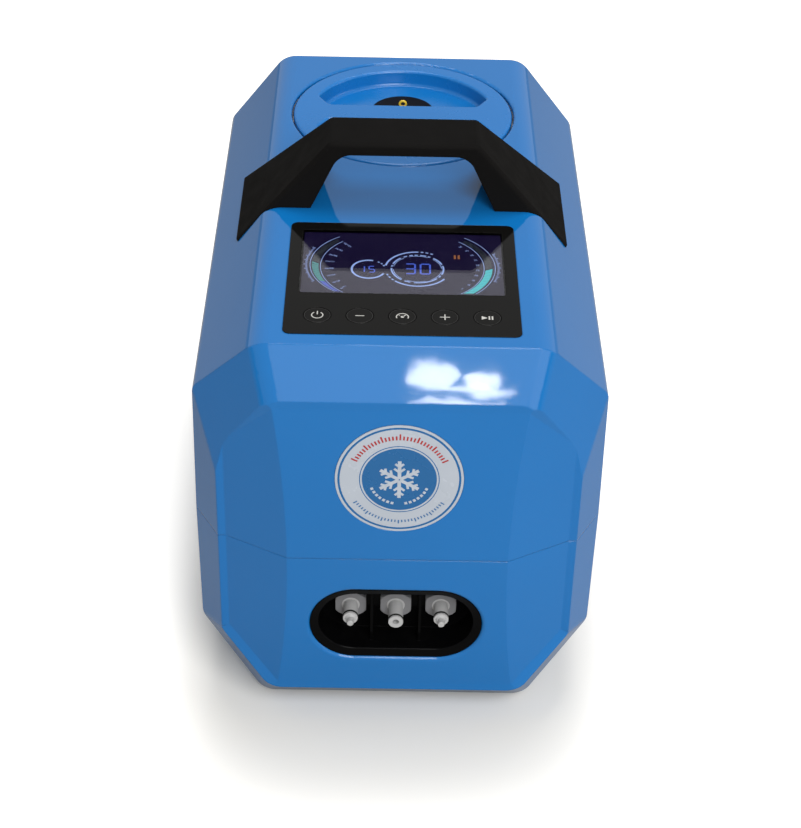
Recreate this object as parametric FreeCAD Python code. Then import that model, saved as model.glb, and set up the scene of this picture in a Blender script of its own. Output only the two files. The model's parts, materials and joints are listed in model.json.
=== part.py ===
import FreeCAD, Part

import math
import os

# Hot and cold water therapy machine: a water tank, a thermoelectric unit and pumps in a
# faceted two-part case, with a carry handle, a display with five keys and a coupling port.
#
# Frame: millimetres, +X to the right of someone facing the coupling port, +Y to the back,
# +Z up. The origin is under the middle of the case, on the surface that it stands on.

V = FreeCAD.Vector

# ---------------------------------------------------------------- driving dimensions
# Case
CASE_LENGTH = 344.4
CASE_HALF_WIDTH = 110.0
CASE_HEIGHT = 248.0
FOOT_HEIGHT = 4.0
CHAMFER_WIDTH = 35.0
CHAMFER_HEIGHT = 45.0
SEAM_HEIGHT = 121.0
SEAM_BULGE = 1.0
WALL = 2.5
PARTING_GAP = 0.12
TOP_EDGE_RADIUS = 15.0
SIDE_EDGE_RADIUS = 10.0
BOTTOM_EDGE_RADIUS = 10.0
LIP_THICKNESS = 1.5
LIP_GRIP = 7.0
LIP_GRIP_GAP = 0.15
LIP_RISE = 4.0
LIP_CLEARANCE = 0.2
LIP_HEADROOM = 0.5
BOSS_SET = 13.0
BOSS_RADIUS = 4.2
BOSS_BASE_RADIUS = 5.0
BOSS_RISE = 17.0
BOSS_BOTTOM_DROP = 6.6
BOSS_RIB_THICKNESS = 2.0
BOSS_FRONT_SET = 72.0
BOSS_BACK_SET = 22.0
BOSS_MIDDLE_SHIFT = 12.0
FOOT_RADIUS = 8.0
FOOT_TAPER = 0.8
FOOT_STEM_RADIUS = 2.5
FOOT_STEM_PROUD = 0.5
FOOT_SIDE_INSET = 17.0
FOOT_END_INSET = 26.0

# Front end: set-back of each front edge from the foremost point, and the panel
TOP_EDGE_SET = 16.3
SIDE_EDGE_SET = 41.3
BOTTOM_EDGE_SET = 25.8
RIM_TOP_DROP = 26.8
RIM_BOTTOM_RISE = 23.2
RIM_WIDTH = 4.8
RIM_SIDE_INSET = 17.1
RIM_CORNER_TOP_INSET = 5.7
RIM_CORNER_BOTTOM_INSET = 4.8
RIM_CORNER_UPPER_DROP = 17.5
RIM_CORNER_LOWER_RISE = 12.0
CROWN_RADIUS = 1250.0
SIDE_FACET_WIDTH = 50.9
FACET_SLOPE = 0.544
BEVEL_CORNER_RADIUS = 12.0
RIM_CORNER_LEAN = 0.45
SIDE_BEVEL_SHARE = 0.9

# Display and keys
BEZEL_SET = 9.2
BEZEL_HALF_WIDTH = 61.1
BEZEL_LENGTH = 110.7
BEZEL_CORNER_RADIUS = 4.0
BEZEL_THICKNESS = 3.2
BEZEL_PROUD = 0.3
LEDGE_THICKNESS = 4.5
LEDGE_WIDTH = 4.5
DISPLAY_OPENING_RADIUS = 2.0
BEZEL_LEG_RADIUS = 2.0
BEZEL_LEG_SIDE_INSET = 9.0
BEZEL_LEG_FRONT_SET = 8.0
BEZEL_LEG_WINDOW_SET = 5.0
WINDOW_HALF_WIDTH = 54.4
WINDOW_BACK_MARGIN = 8.1
WINDOW_LENGTH = 63.6
WINDOW_THICKNESS = 2.0
WINDOW_LEDGE = 0.8
WINDOW_CORNER_RADIUS = 1.8
SCREEN_GAP = 0.2
BOARD_THICKNESS = 1.6
BOARD_CLEARANCE = 0.6
BOARD_CORNER_RADIUS = 1.5
KEY_RADIUS = 7.15
KEY_GAP = 0.2
KEY_EDGE_RADIUS = 0.35
KEY_FLANGE_REACH = 1.1
KEY_FLANGE_THICKNESS = 1.2
KEY_FLANGE_GAP = 0.2
KEY_STEM_RADIUS = 1.8
KEY_STEM_GAP = 0.05
SWITCH_GAP = 0.9
SWITCH_HEIGHT = 2.2
SWITCH_HALF = 3.0
SWITCH_PLUNGER_RADIUS = 1.6
SWITCH_PLUNGER_HEIGHT = 0.7
KEY_PITCH = 21.9
KEY_FRONT_MARGIN = 17.4
KEY_TRAVEL = 0.6
KEY_NAMES = ("power", "minus", "mode", "plus", "play_pause")

# Carry handle
HANDLE_BACK_OF_BEZEL = 16.0
HANDLE_HEIGHT = 40.6
HANDLE_TOP_INSET = 34.0
HANDLE_FOOT_INSET = 17.3
HANDLE_PROUD = 1.2
HANDLE_GRIP_FRONT = 6.8
HANDLE_GRIP_BULGE = 5.6
HANDLE_TOP_DEPTH = 32.0
HANDLE_FOOT_DEPTH = 74.0
HANDLE_OPENING_INSET = 23.5
HANDLE_OPENING_SLOPE = 0.466
HANDLE_OPENING_RADIUS = 12.0
HANDLE_CORNER_RADIUS = 4.0
HANDLE_EDGE_RADIUS = 2.5
HANDLE_BULGE_OVERHANG = 5.0
HANDLE_SCREW_INSET = 12.0
HANDLE_SCREW_SETS = (10.0, 32.0)
HANDLE_SCREW_DEPTH = 12.0
HANDLE_PAD_RADIUS = 6.5
HANDLE_PAD_THICKNESS = 4.0

# Lid, collar and tank
LID_RADIUS = 66.2
LID_GAP = 1.0
LID_BACK_MARGIN = 8.4
LID_FLANGE = 6.0
LID_EDGE_RADIUS = 1.8
LID_HOLE_EDGE_RADIUS = 1.4
LID_RIM_WIDTH = 10.9
LID_RECESS_DEPTH = 10.0
LID_RECESS_EDGE_RADIUS = 1.6
LID_RECESS_FLOOR_RADIUS = 2.5
LID_RECESS_CORNER_RADIUS = 4.0
LID_BAR_WIDTH = 18.8
LID_SKIRT_INSET = 8.7
LID_SKIRT_DEPTH = 25.5
LID_SHOULDER_SHARE = 0.81
LID_FLANK_X_SHARE = 0.93
LID_FLANK_Y_SHARE = 0.367
VENT_SET = 20.5
VENT_RADIUS = 19.0
VENT_PROUD = 0.6
VENT_BAR_GAP = 2.6
VENT_STEM_RADIUS = 1.3
VENT_STEM_RISE = 3.4
VENT_STEM_REACH = 2.0
VENT_LOOP_RADIUS = 1.9
VENT_LOOP_THICKNESS = 1.4
VENT_LOOP_SINK = 0.3
LUG_THICKNESS = 4.5
LUG_FIRST_ANGLE = 90.0
LUG_REACH = 3.3
LUG_COUNT = 3
LUG_ANGLE = 50.0
COLLAR_LUG_ANGLE = 56.0
COLLAR_LUG_FIRST_ANGLE = 30.0
COLLAR_LUG_THICKNESS = 4.0
COLLAR_CLEARANCE = 0.8
COLLAR_WIDTH = 3.0
GASKET_THICKNESS = 2.0
GASKET_INSET = 1.5
GASKET_CLEARANCE = 0.5
NECK_CLEARANCE = 0.6
TANK_HEADROOM = 8.0
TANK_HALF_WIDTH = 84.0
TANK_FRONT_MARGIN = 8.1
TANK_BACK_MARGIN = 0.5
TANK_FLOOR_HEIGHT = 96.0
TANK_WALL = 2.5
TANK_CORNER_RADIUS = 10.0
JACKET_THICKNESS = 4.0
TANK_NIPPLE_LENGTH = 18.0
STRAINER_LENGTH = 7.0
STRAINER_RADIUS = 6.0
STRAINER_WALL = 1.2
STRAINER_SLOTS = 3
STRAINER_SLOT_PITCH = 3.0
STRAINER_SLOT_HEIGHT = 1.0
STRAINER_SLOT_LOW = 3.5
STRAINER_SLOT_SET = 1.5
STRAINER_SLOT_LENGTH = 3.0
SHELF_THICKNESS = 1.5
SHELF_SIDE_INSET = 4.0
SHELF_OVERHANG = 10.0
BULKHEAD_RISE = 96.0
FRAME_LEG_SET = 6.0
HOSE_HOLE_CLEARANCE = 1.0

# Coupling port
PORT_HEIGHT = 73.4
PORT_HALF_SPACING = 22.1
PORT_RADIUS = 25.1
PORT_EDGE_RADIUS = 2.2
PORT_SET = 1.2
PORT_DISH_DEPTH = 1.8
PORT_DISH_EDGE_RADIUS = 0.8
PORT_TUNNEL_RADIUS = 20.3
PORT_DEPTH = 22.7
PORT_BOSS_SET = 10.3
PORT_BOSS_RADIUS = 4.0
PORT_RIB_THICKNESS = 1.6
PORT_RIB_SET = 1.0
PORT_RIB_SHIFT = 0.8
PORT_FLANGE_SET = 4.0
PORT_FLANGE_THICKNESS = 2.0
PORT_FLANGE_REACH = 4.0
COUPLING_SPACING = 25.0
COUPLING_BARREL_RADIUS = 4.05
COUPLING_SET = 6.3
AIR_COUPLING_ADVANCE = 2.6
NOSE_REACH = 1.0
NOSE_ROOT_RADIUS = 3.0
NOSE_LIP = 0.4
SHANK_RADIUS = 5.0
SHANK_LENGTH = 20.0
BARB_LENGTH = 12.0
COUPLING_FLANGE_RADIUS = 8.0
COUPLING_FLANGE_THICKNESS = 3.0
NUT_ACROSS_FLATS = 17.0
NUT_THICKNESS = 5.0
NUT_CHAMFER = 0.9
POPPET_RADIUS = 1.85
POPPET_REACH = 4.5
POPPET_TIP_RADIUS = 0.5
POPPET_GAP = 0.08
POPPET_SEAT_DEPTH = 8.0
POPPET_SEAT_GAP = 0.05
POPPET_HEAD = 3.4
POPPET_HEAD_GAP = 0.3
POPPET_CHAMBER_RADIUS = 3.1
POPPET_CHAMBER_END = 4.0
AIR_BORE_RADIUS = 1.8
SEAL_PROUD = 0.2
SEAL_DEPTH = 0.7
SEAL_WIDTH = 1.6
SEAL_SET = 1.1
SEAL_EDGE_RADIUS = 0.6

# Badge
BADGE_DROP = 73.4
BADGE_RADIUS = 33.5
BADGE_THICKNESS = 0.7
BADGE_PROUD = 0.2
BADGE_GAP = 0.15

# Chassis, fan and rear panel
CHASSIS_HEIGHT = 6.0
CHASSIS_THICKNESS = 2.0
CHASSIS_CORNER_RADIUS = 6.0
CHASSIS_SIDE_SET = 5.0
CHASSIS_FRONT_SET = 22.0
CHASSIS_BACK_SET = 24.0
STANDOFF_RADIUS = 4.5
STANDOFF_FLOOR = 1.0
STANDOFF_INSET = 4.0
STANDOFF_FRONT_SET = 22.0
STANDOFF_BACK_SET = 8.0
FLOOR_SLOTS = 8
FLOOR_SLOT_SET = 8.0
FLOOR_SLOT_PITCH = 9.0
FLOOR_SLOT_WIDTH = 4.0
FLOOR_SLOT_HALF = 30.0
CHASSIS_SLOT_HALF = 28.0
FAN_SIZE = 80.0
FAN_DEPTH = 25.0
FAN_OFFSET = -22.0
FAN_HOLE_INSET = 4.25
FAN_TIP_INSET = 3.5
FAN_TIP_GAP = 1.5
FAN_BACK_SET = 9.5
FAN_LIFT = 1.0
FAN_CORNER_RADIUS = 4.0
FAN_HUB_RADIUS = 16.0
FAN_HUB_THICKNESS = 4.0
FAN_HUB_GAP = 0.5
FAN_STRUTS = 4
FAN_STRUT_WIDTH = 3.0
FAN_STRUT_DEPTH = 3.0
FAN_AXLE_RADIUS = 1.5
FAN_AXLE_END = 16.0
FAN_BORE_GAP = 0.05
FAN_BLADES = 7
FAN_BLADE_DEPTH = 18.0
FAN_BLADE_THICKNESS = 1.6
FAN_BLADE_PITCH = 42.0
FAN_BLADE_TIP_GAP = 0.6
GRILLE_MARGIN = 6.0
GRILLE_LOW_MARGIN = 3.0
GRILLE_SET = 0.4
GRILLE_SLOTS = 9
GRILLE_SLOT_MARGIN = 7.0
GRILLE_SLOT_HEIGHT = 4.8
GRILLE_SLOT_END = 11.0
GRILLE_SPINE_WIDTH = 5.0
GRILLE_PILLAR_RADIUS = 3.6

# Mains inlet and its rocker switch
INLET_X = 57.0
INLET_HEIGHT = 48.0
INLET_HALF_WIDTH = 13.5
INLET_DEPTH = 20.0
INLET_BELOW = 10.5
INLET_ABOVE = 27.5
SOCKET_MARGIN = 1.4
SOCKET_HALF_HEIGHT = 8.4
SOCKET_DEPTH = 16.0
SOCKET_LOW_RADIUS = 1.0
SOCKET_HIGH_RADIUS = 4.5
CONTACT_SPACING = 7.0
CONTACT_RISE = 2.0
CONTACT_HALF_WIDTH = 1.0
CONTACT_HALF_HEIGHT = 2.0
CONTACT_SET = 4.0
ROCKER_RISE = 19.0
ROCKER_HALF = 8.0
ROCKER_REACH = 7.0
ROCKER_TILT = 9.0
ROCKER_AXIS_SET = 5.6
ROCKER_GAP = 0.3
ROCKER_WELL_DEPTH = 12.0
ROCKER_PIN_RADIUS = 1.2
ROCKER_PIN_GAP = 0.05
ROCKER_PIN_SEAT = 0.6
ROCKER_BACK = 3.4
ROCKER_BACK_HALF = 4.5
ROCKER_FACE = 5.0
ROCKER_FACE_HALF = 5.8
ROCKER_DIP = 1.0

# Thermal unit
HEATSINK_LENGTH = 78.0
HEATSINK_GAP = 1.0
HEATSINK_BASE = 6.0
HEATSINK_FINS = 13
FIN_THICKNESS = 1.6
MODULE_SIZE = 40.0
MODULE_THICKNESS = 3.8
MODULE_SPACING = 1.0
MODULE_SET = 2.0
COLD_BLOCK_HALF = 42.0
COLD_BLOCK_LENGTH = 44.0
COLD_BLOCK_THICKNESS = 12.0
COLD_BLOCK_GAP = 1.5
COLD_BLOCK_SET = 17.0
BLOCK_NIPPLE_X = 28.0
BLOCK_NIPPLE_LENGTH = 14.0
BLOCK_CHANNEL_LENGTH = 38.0

# Water pump
PUMP_X = -36.0
PUMP_SET = 66.0
PUMP_MOTOR_HEIGHT = 38.0
PUMP_MOTOR_RADIUS = 17.0
PUMP_FOOT_RADIUS = 21.0
PUMP_FOOT_THICKNESS = 3.0
VOLUTE_HEIGHT = 20.0
VOLUTE_RADIUS = 22.0
VOLUTE_WALL = 2.5
VOLUTE_GAP = 3.0
VOLUTE_INLET_LENGTH = 12.0
VOLUTE_OUTLET_LENGTH = 12.0
VOLUTE_OUTLET_INSET = 5.0
VOLUTE_OUTLET_RISE = 8.0
IMPELLER_RADIUS = 15.0
IMPELLER_DISC = 2.5
IMPELLER_HUB_RADIUS = 5.0
IMPELLER_HUB_HEIGHT = 9.0
IMPELLER_VANES = 6
IMPELLER_VANE_THICKNESS = 1.4
IMPELLER_VANE_TOP = 8.0
IMPELLER_VANE_ROOT = 3.0
IMPELLER_TIP_GAP = 0.4
IMPELLER_LIFT = 0.3
SPINDLE_RADIUS = 1.5
SPINDLE_GAP = 0.05
SPINDLE_TOP_SET = 6.0

# Air pump and its release valve
AIR_PUMP_X = 34.0
AIR_PUMP_SET = 30.0
AIR_PUMP_HEIGHT = 46.0
AIR_HEAD_HALF = 24.0
AIR_HEAD_LENGTH = 18.0
AIR_HEAD_LIFT = 6.0
AIR_HEAD_CORNER_RADIUS = 3.0
AIR_MOTOR_RADIUS = 15.0
AIR_MOTOR_END = 56.0
AIR_FOOT_HALF = 20.0
AIR_FOOT_SPAN = (2.0, 50.0)
AIR_FOOT_THICKNESS = 3.0
AIR_COLUMN_HALF = 8.0
AIR_COLUMN_SPAN = (4.0, 46.0)
AIR_COLUMN_SET = 10.0
AIR_NIPPLE_INSET = 18.0
AIR_NIPPLE_SET = 8.0
AIR_NIPPLE_LENGTH = 12.0
VALVE_HEIGHT = 14.0
VALVE_BASE_SPAN = (2.0, 20.0)
VALVE_BASE_MARGIN = 1.0
VALVE_BASE_THICKNESS = 5.0
VALVE_COIL_RADIUS = 6.5

# Power supply and control board
SUPPLY_HALF_WIDTH = 56.0
SUPPLY_LENGTH = 42.0
SUPPLY_HEIGHT = 36.0
SUPPLY_SET = 14.0
SUPPLY_SLOTS = 9
SUPPLY_SLOT_START = 44.0
SUPPLY_SLOT_PITCH = 10.5
SUPPLY_SLOT_WIDTH = 4.0
SUPPLY_SLOT_MARGIN = 8.0
SUPPLY_SLOT_DEPTH = 1.0
CONTROL_HALF = 56.0
CONTROL_HEIGHT = 66.0
CONTROL_LIFT = 14.0
CONTROL_STANDOFF = 5.0
CONTROL_SPACER_RADIUS = 2.5
CONTROL_SPACER_INSET = 6.0
CONTROL_PARTS = (
    # left edge, lower edge, width, height, depth
    (-40, 12, 14, 14, 2.0),
    (-16, 30, 18, 18, 2.4),
    (14, 10, 12, 24, 9.0),
    (34, 36, 16, 18, 12.0),
    (-44, 44, 22, 10, 8.0),
)

# Hoses
HOSE_RADIUS = 4.5
NIPPLE_RADIUS = 3.0
NIPPLE_WALL = 1.0
HOSE_BEND = 12.0
AIR_HOSE_BEND = 8.0
HOSE_PASS_X = 54.0
HOSE_PASS_RISE = 13.0

# Fasteners
SCREW_RADIUS = 1.75
SCREW_HEAD_RADIUS = 3.4
SCREW_HEAD_HEIGHT = 2.6
SCREW_HEAD_CLEARANCE = 0.4
FAN_SCREW_HEAD_RADIUS = 2.6
FAN_SCREW_HEAD_HEIGHT = 0.9
HOUSING_SCREW_LENGTH = 22.0
HOUSING_SCREW_SEAT = 6.0
HOUSING_SCREW_PILOT = 12.0
FAN_SCREW_GRIP = 8.0
CHASSIS_SCREW_END = 1.5

# How far a cutting tool runs past what it cuts, and a joined piece into its neighbour
PAST = 1.0
INTO = 0.1

# ---------------------------------------------------------------- places that follow
BOTTOM = FOOT_HEIGHT
TOP = BOTTOM + CASE_HEIGHT
FRONT = -CASE_LENGTH / 2
BACK = CASE_LENGTH / 2
SEAM = BOTTOM + SEAM_HEIGHT
FLAT_HALF = CASE_HALF_WIDTH - CHAMFER_WIDTH
CENTRE_FACET_HALF = CASE_HALF_WIDTH - SIDE_FACET_WIDTH
SHOULDER_TOP = TOP - CHAMFER_HEIGHT
SHOULDER_BOTTOM = BOTTOM + CHAMFER_HEIGHT
FLOOR = BOTTOM + WALL
INNER_TOP = TOP - WALL
INNER_BACK = BACK - WALL

BEZEL_FRONT = FRONT + TOP_EDGE_SET + BEZEL_SET
BEZEL_BACK = BEZEL_FRONT + BEZEL_LENGTH
BEZEL_TOP = TOP + BEZEL_PROUD
BEZEL_BOTTOM = BEZEL_TOP - BEZEL_THICKNESS
WINDOW_BACK = BEZEL_BACK - WINDOW_BACK_MARGIN
WINDOW_FRONT = WINDOW_BACK - WINDOW_LENGTH
KEY_Y = BEZEL_FRONT + KEY_FRONT_MARGIN
KEY_FLANGE_RADIUS = KEY_RADIUS + KEY_FLANGE_REACH
KEY_FLANGE_TOP = BEZEL_BOTTOM - KEY_FLANGE_GAP
KEY_FLANGE_BOTTOM = KEY_FLANGE_TOP - KEY_FLANGE_THICKNESS
SWITCH_TOP = KEY_FLANGE_BOTTOM - SWITCH_GAP
SWITCH_BASE_TOP = SWITCH_TOP - SWITCH_PLUNGER_HEIGHT
BOARD_TOP = SWITCH_TOP - SWITCH_HEIGHT
LEDGE_BOTTOM = BEZEL_BOTTOM - LEDGE_THICKNESS

HANDLE_FRONT = BEZEL_BACK + HANDLE_BACK_OF_BEZEL
HANDLE_TOP = TOP + HANDLE_HEIGHT
HANDLE_TOP_HALF = FLAT_HALF - HANDLE_TOP_INSET
HANDLE_FOOT_X = CASE_HALF_WIDTH - HANDLE_FOOT_INSET
HANDLE_FOOT_Z = TOP - (HANDLE_FOOT_X - FLAT_HALF) * CHAMFER_HEIGHT / CHAMFER_WIDTH
HANDLE_OPENING_HALF = FLAT_HALF - HANDLE_OPENING_INSET
HANDLE_UNDERSIDE = HANDLE_TOP - HANDLE_GRIP_FRONT
HANDLE_SCREW_X = FLAT_HALF - HANDLE_SCREW_INSET
HANDLE_SCREW_YS = tuple(HANDLE_FRONT + y for y in HANDLE_SCREW_SETS)
HANDLE_PAD_BOTTOM = INNER_TOP - HANDLE_PAD_THICKNESS

LID_Y = BACK - LID_BACK_MARGIN - LID_RADIUS
LID_FLOOR = TOP - LID_RECESS_DEPTH
LID_UNDERSIDE = LID_FLOOR - WALL
LID_RECESS_RADIUS = LID_RADIUS - LID_RIM_WIDTH
LID_SKIRT_RADIUS = LID_RADIUS - LID_SKIRT_INSET
FLANGE_BOTTOM = TOP - LID_FLANGE
LUG_RADIUS = LID_SKIRT_RADIUS + LUG_REACH
SKIRT_BOTTOM = TOP - LID_SKIRT_DEPTH
COLLAR_TOP = FLANGE_BOTTOM - GASKET_THICKNESS
COLLAR_BOTTOM = SKIRT_BOTTOM + LUG_THICKNESS + COLLAR_CLEARANCE
COLLAR_INNER = LUG_RADIUS + COLLAR_CLEARANCE
COLLAR_OUTER = LID_RADIUS + LID_GAP + COLLAR_WIDTH
NECK_INNER = COLLAR_INNER + NECK_CLEARANCE
NECK_OUTER = NECK_INNER + TANK_WALL
TANK_BOTTOM = BOTTOM + TANK_FLOOR_HEIGHT
TANK_TOP = SKIRT_BOTTOM - TANK_HEADROOM
TANK_FRONT = LID_Y - NECK_OUTER - TANK_FRONT_MARGIN
TANK_BACK = LID_Y + NECK_OUTER + TANK_BACK_MARGIN
VENT_Y = LID_Y + VENT_SET
VENT_TOP = LID_FLOOR + VENT_PROUD

PORT_Z = BOTTOM + PORT_HEIGHT
PORT_WALL_Y = FRONT + PORT_DEPTH
NUT_FRONT = PORT_WALL_Y - NUT_THICKNESS
BARREL_FRONT = FRONT + COUPLING_SET
WALL_BEHIND = PORT_WALL_Y + WALL
SHANK_BACK = WALL_BEHIND + SHANK_LENGTH
BARB_BACK = SHANK_BACK + BARB_LENGTH
POPPET_SEAT = BARREL_FRONT + POPPET_SEAT_DEPTH
COUPLING_XS = {"left": -COUPLING_SPACING, "air": 0.0, "right": COUPLING_SPACING}
RIB_X = COUPLING_SPACING / 2 + PORT_RIB_SHIFT
BADGE_UNDER = BADGE_THICKNESS - BADGE_PROUD

CHASSIS_BOTTOM = BOTTOM + CHASSIS_HEIGHT
CHASSIS_TOP = CHASSIS_BOTTOM + CHASSIS_THICKNESS
CHASSIS_HALF = FLAT_HALF - CHASSIS_SIDE_SET
JACKET_FRONT = TANK_FRONT - JACKET_THICKNESS
JACKET_BOTTOM = TANK_BOTTOM - JACKET_THICKNESS
BULKHEAD_Y = JACKET_FRONT - SHELF_THICKNESS
SHELF_BOTTOM = JACKET_BOTTOM - SHELF_THICKNESS
FAN_Z = CHASSIS_TOP + FAN_SIZE / 2 + FAN_LIFT
FAN_HOLE_SPACING = FAN_SIZE - 2 * FAN_HOLE_INSET
FAN_ROTOR_RADIUS = FAN_SIZE / 2 - FAN_TIP_INSET
FAN_FRONT = INNER_BACK - FAN_BACK_SET - FAN_DEPTH
FAN_BACK = FAN_FRONT + FAN_DEPTH
GRILLE_HALF = FAN_SIZE / 2 + GRILLE_MARGIN
GRILLE_BOTTOM = FAN_Z - GRILLE_HALF + GRILLE_LOW_MARGIN
GRILLE_TOP = FAN_Z + GRILLE_HALF
HEATSINK_BACK = FAN_FRONT - HEATSINK_GAP
HEATSINK_FRONT = HEATSINK_BACK - HEATSINK_LENGTH
COLD_BLOCK_TOP = SHELF_BOTTOM - COLD_BLOCK_GAP
COLD_BLOCK_BOTTOM = COLD_BLOCK_TOP - COLD_BLOCK_THICKNESS
HEATSINK_TOP = COLD_BLOCK_BOTTOM - MODULE_THICKNESS
COLD_BLOCK_FRONT = HEATSINK_FRONT + COLD_BLOCK_SET
HOSE_PASS_Z = JACKET_BOTTOM + HOSE_PASS_RISE
BLOCK_NIPPLE_Z = (COLD_BLOCK_TOP + COLD_BLOCK_BOTTOM) / 2
NIPPLE_BORE = NIPPLE_RADIUS - NIPPLE_WALL

PUMP_Y = SHANK_BACK + PUMP_SET
PUMP_MOTOR_TOP = CHASSIS_TOP + PUMP_MOTOR_HEIGHT
VOLUTE_TOP = PUMP_MOTOR_TOP + VOLUTE_HEIGHT
VOLUTE_FLOOR = PUMP_MOTOR_TOP + VOLUTE_WALL
VOLUTE_INLET_TOP = VOLUTE_TOP + VOLUTE_INLET_LENGTH
VOLUTE_OUTLET_X = PUMP_X - VOLUTE_RADIUS + VOLUTE_OUTLET_INSET
VOLUTE_OUTLET_Y = PUMP_Y + VOLUTE_RADIUS + VOLUTE_OUTLET_LENGTH
VOLUTE_OUTLET_Z = PUMP_MOTOR_TOP + VOLUTE_OUTLET_RISE
AIR_PUMP_FRONT = SHANK_BACK + AIR_PUMP_SET
AIR_PUMP_TOP = CHASSIS_TOP + AIR_PUMP_HEIGHT
AIR_HEAD_BOTTOM = CHASSIS_TOP + AIR_HEAD_LIFT
AIR_NIPPLE_X = AIR_PUMP_X - AIR_NIPPLE_INSET
AIR_NIPPLE_Y = AIR_PUMP_FRONT + AIR_NIPPLE_SET
VALVE_TOP = AIR_PUMP_TOP + VALVE_HEIGHT
PSU_TOP = CHASSIS_TOP + SUPPLY_HEIGHT
PSU_BACK = BULKHEAD_Y - SUPPLY_SET
PSU_FRONT = PSU_BACK - SUPPLY_LENGTH
CONTROL_BOTTOM = HOSE_PASS_Z + CONTROL_LIFT
CONTROL_TOP = CONTROL_BOTTOM + CONTROL_HEIGHT
INLET_Z = BOTTOM + INLET_HEIGHT
INLET_BODY_BOTTOM = INLET_Z - INLET_BELOW
INLET_BODY_TOP = INLET_Z + INLET_ABOVE
ROCKER_Z = INLET_Z + ROCKER_RISE
ROCKER_AXIS_Y = BACK - ROCKER_AXIS_SET
BOSS_X = CASE_HALF_WIDTH - BOSS_SET
BOSS_YS = (
    FRONT + BOSS_FRONT_SET,
    (FRONT + BACK) / 2 + BOSS_MIDDLE_SHIFT,
    BACK - BOSS_BACK_SET,
)
BOSS_TOP = SEAM - BOSS_BOTTOM_DROP
FAR = 400.0


# ---------------------------------------------------------------- solids
def block(x0, x1, y0, y1, z0, z1):
    return Part.makeBox(x1 - x0, y1 - y0, z1 - z0, V(x0, y0, z0))


def post(x, y, z0, z1, radius):
    return Part.makeCylinder(radius, z1 - z0, V(x, y, z0))


def rod(x, z, y0, y1, radius):
    return Part.makeCylinder(radius, y1 - y0, V(x, y0, z), V(0, 1, 0))


def pipe_y(x, z, y0, y1, outer, inner):
    return rod(x, z, y0, y1, outer).cut(rod(x, z, y0 - 1, y1 + 1, inner))


def ring(x, y, z0, z1, outer, inner):
    return post(x, y, z0, z1, outer).cut(post(x, y, z0 - 1, z1 + 1, inner))


def sector(x, y, z0, z1, outer, inner, middle, span):
    """A piece of a ring about a vertical axis, middle and span in degrees."""
    start = middle - span / 2
    piece = Part.makeCylinder(outer, z1 - z0, V(x, y, z0), V(0, 0, 1), span)
    core = Part.makeCylinder(inner, z1 - z0 + 2, V(x, y, z0 - 1))
    piece.rotate(V(x, y, 0), V(0, 0, 1), start)
    return piece.cut(core)


def joined(shapes):
    shapes = list(shapes)
    whole = shapes[0]
    if len(shapes) > 1:
        whole = whole.multiFuse(shapes[1:])
    return whole.removeSplitter()


def less(shape, *tools):
    return shape.cut(Part.makeCompound(list(tools)))


def mirrored(shape):
    return shape.mirror(V(0, 0, 0), V(1, 0, 0))


def face_of(points):
    return Part.Face(Part.makePolygon(list(points) + [points[0]]))


def rounded_edges(points, radii):
    """The edges of a closed outline with each corner rounded to its own radius, 0 for sharp."""
    starts, ends, arcs = [], [], []
    count = len(points)
    for i, corner in enumerate(points):
        to_last = (points[i - 1] - corner).normalize()
        to_next = (points[(i + 1) % count] - corner).normalize()
        half = to_last.getAngle(to_next) / 2
        if radii[i] <= 0:
            starts.append(corner)
            ends.append(corner)
            arcs.append(None)
            continue
        reach = radii[i] / math.tan(half)
        inward = (to_last + to_next).normalize()
        middle = corner + inward * (radii[i] / math.sin(half) - radii[i])
        starts.append(corner + to_last * reach)
        ends.append(corner + to_next * reach)
        arcs.append(Part.Arc(starts[i], middle, ends[i]).toShape())
    edges = []
    for i in range(count):
        if arcs[i]:
            edges.append(arcs[i])
        edges.append(Part.makeLine(ends[i], starts[(i + 1) % count]))
    return edges


def rounded_prism(points, radii, direction):
    return Part.Face(Part.Wire(rounded_edges(points, radii))).extrude(direction)


def rounded_block(x0, x1, y0, y1, z0, z1, radius):
    corners = [V(x0, y0, z0), V(x1, y0, z0), V(x1, y1, z0), V(x0, y1, z0)]
    return rounded_prism(corners, [radius] * 4, V(0, 0, z1 - z0))


def stadium_wire(y, radius):
    """A stadium outline of the port, in the plane across Y."""
    half = PORT_HALF_SPACING
    low, high = PORT_Z - radius, PORT_Z + radius
    right = Part.Arc(V(half, y, low), V(half + radius, y, PORT_Z), V(half, y, high)).toShape()
    left = Part.Arc(V(-half, y, high), V(-half - radius, y, PORT_Z), V(-half, y, low)).toShape()
    top = Part.makeLine(V(half, y, high), V(-half, y, high))
    bottom = Part.makeLine(V(-half, y, low), V(half, y, low))
    return Part.Wire([right, top, left, bottom])


def stadium(y0, y1, radius):
    return Part.Face(stadium_wire(y0, radius)).extrude(V(0, y1 - y0, 0))


def tube(points, radius, bore, bend=HOSE_BEND):
    """A hose along straight runs joined by tangent arcs."""
    edges = []
    start = points[0]
    for last, corner, following in zip(points, points[1:], points[2:]):
        to_last = (last - corner).normalize()
        to_next = (following - corner).normalize()
        half = to_last.getAngle(to_next) / 2
        reach = bend / math.tan(half)
        inward = (to_last + to_next).normalize()
        first = corner + to_last * reach
        second = corner + to_next * reach
        middle = corner + inward * (bend / math.sin(half) - bend)
        edges.append(Part.makeLine(start, first))
        edges.append(Part.Arc(first, middle, second).toShape())
        start = second
    edges.append(Part.makeLine(start, points[-1]))
    path = Part.Wire(edges)
    along = (points[1] - points[0]).normalize()
    solids = []
    for size in (radius, bore):
        section = Part.Wire(Part.makeCircle(size, points[0], along))
        solids.append(path.makePipeShell([section], True, True))
    return solids[0].cut(solids[1])


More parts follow.
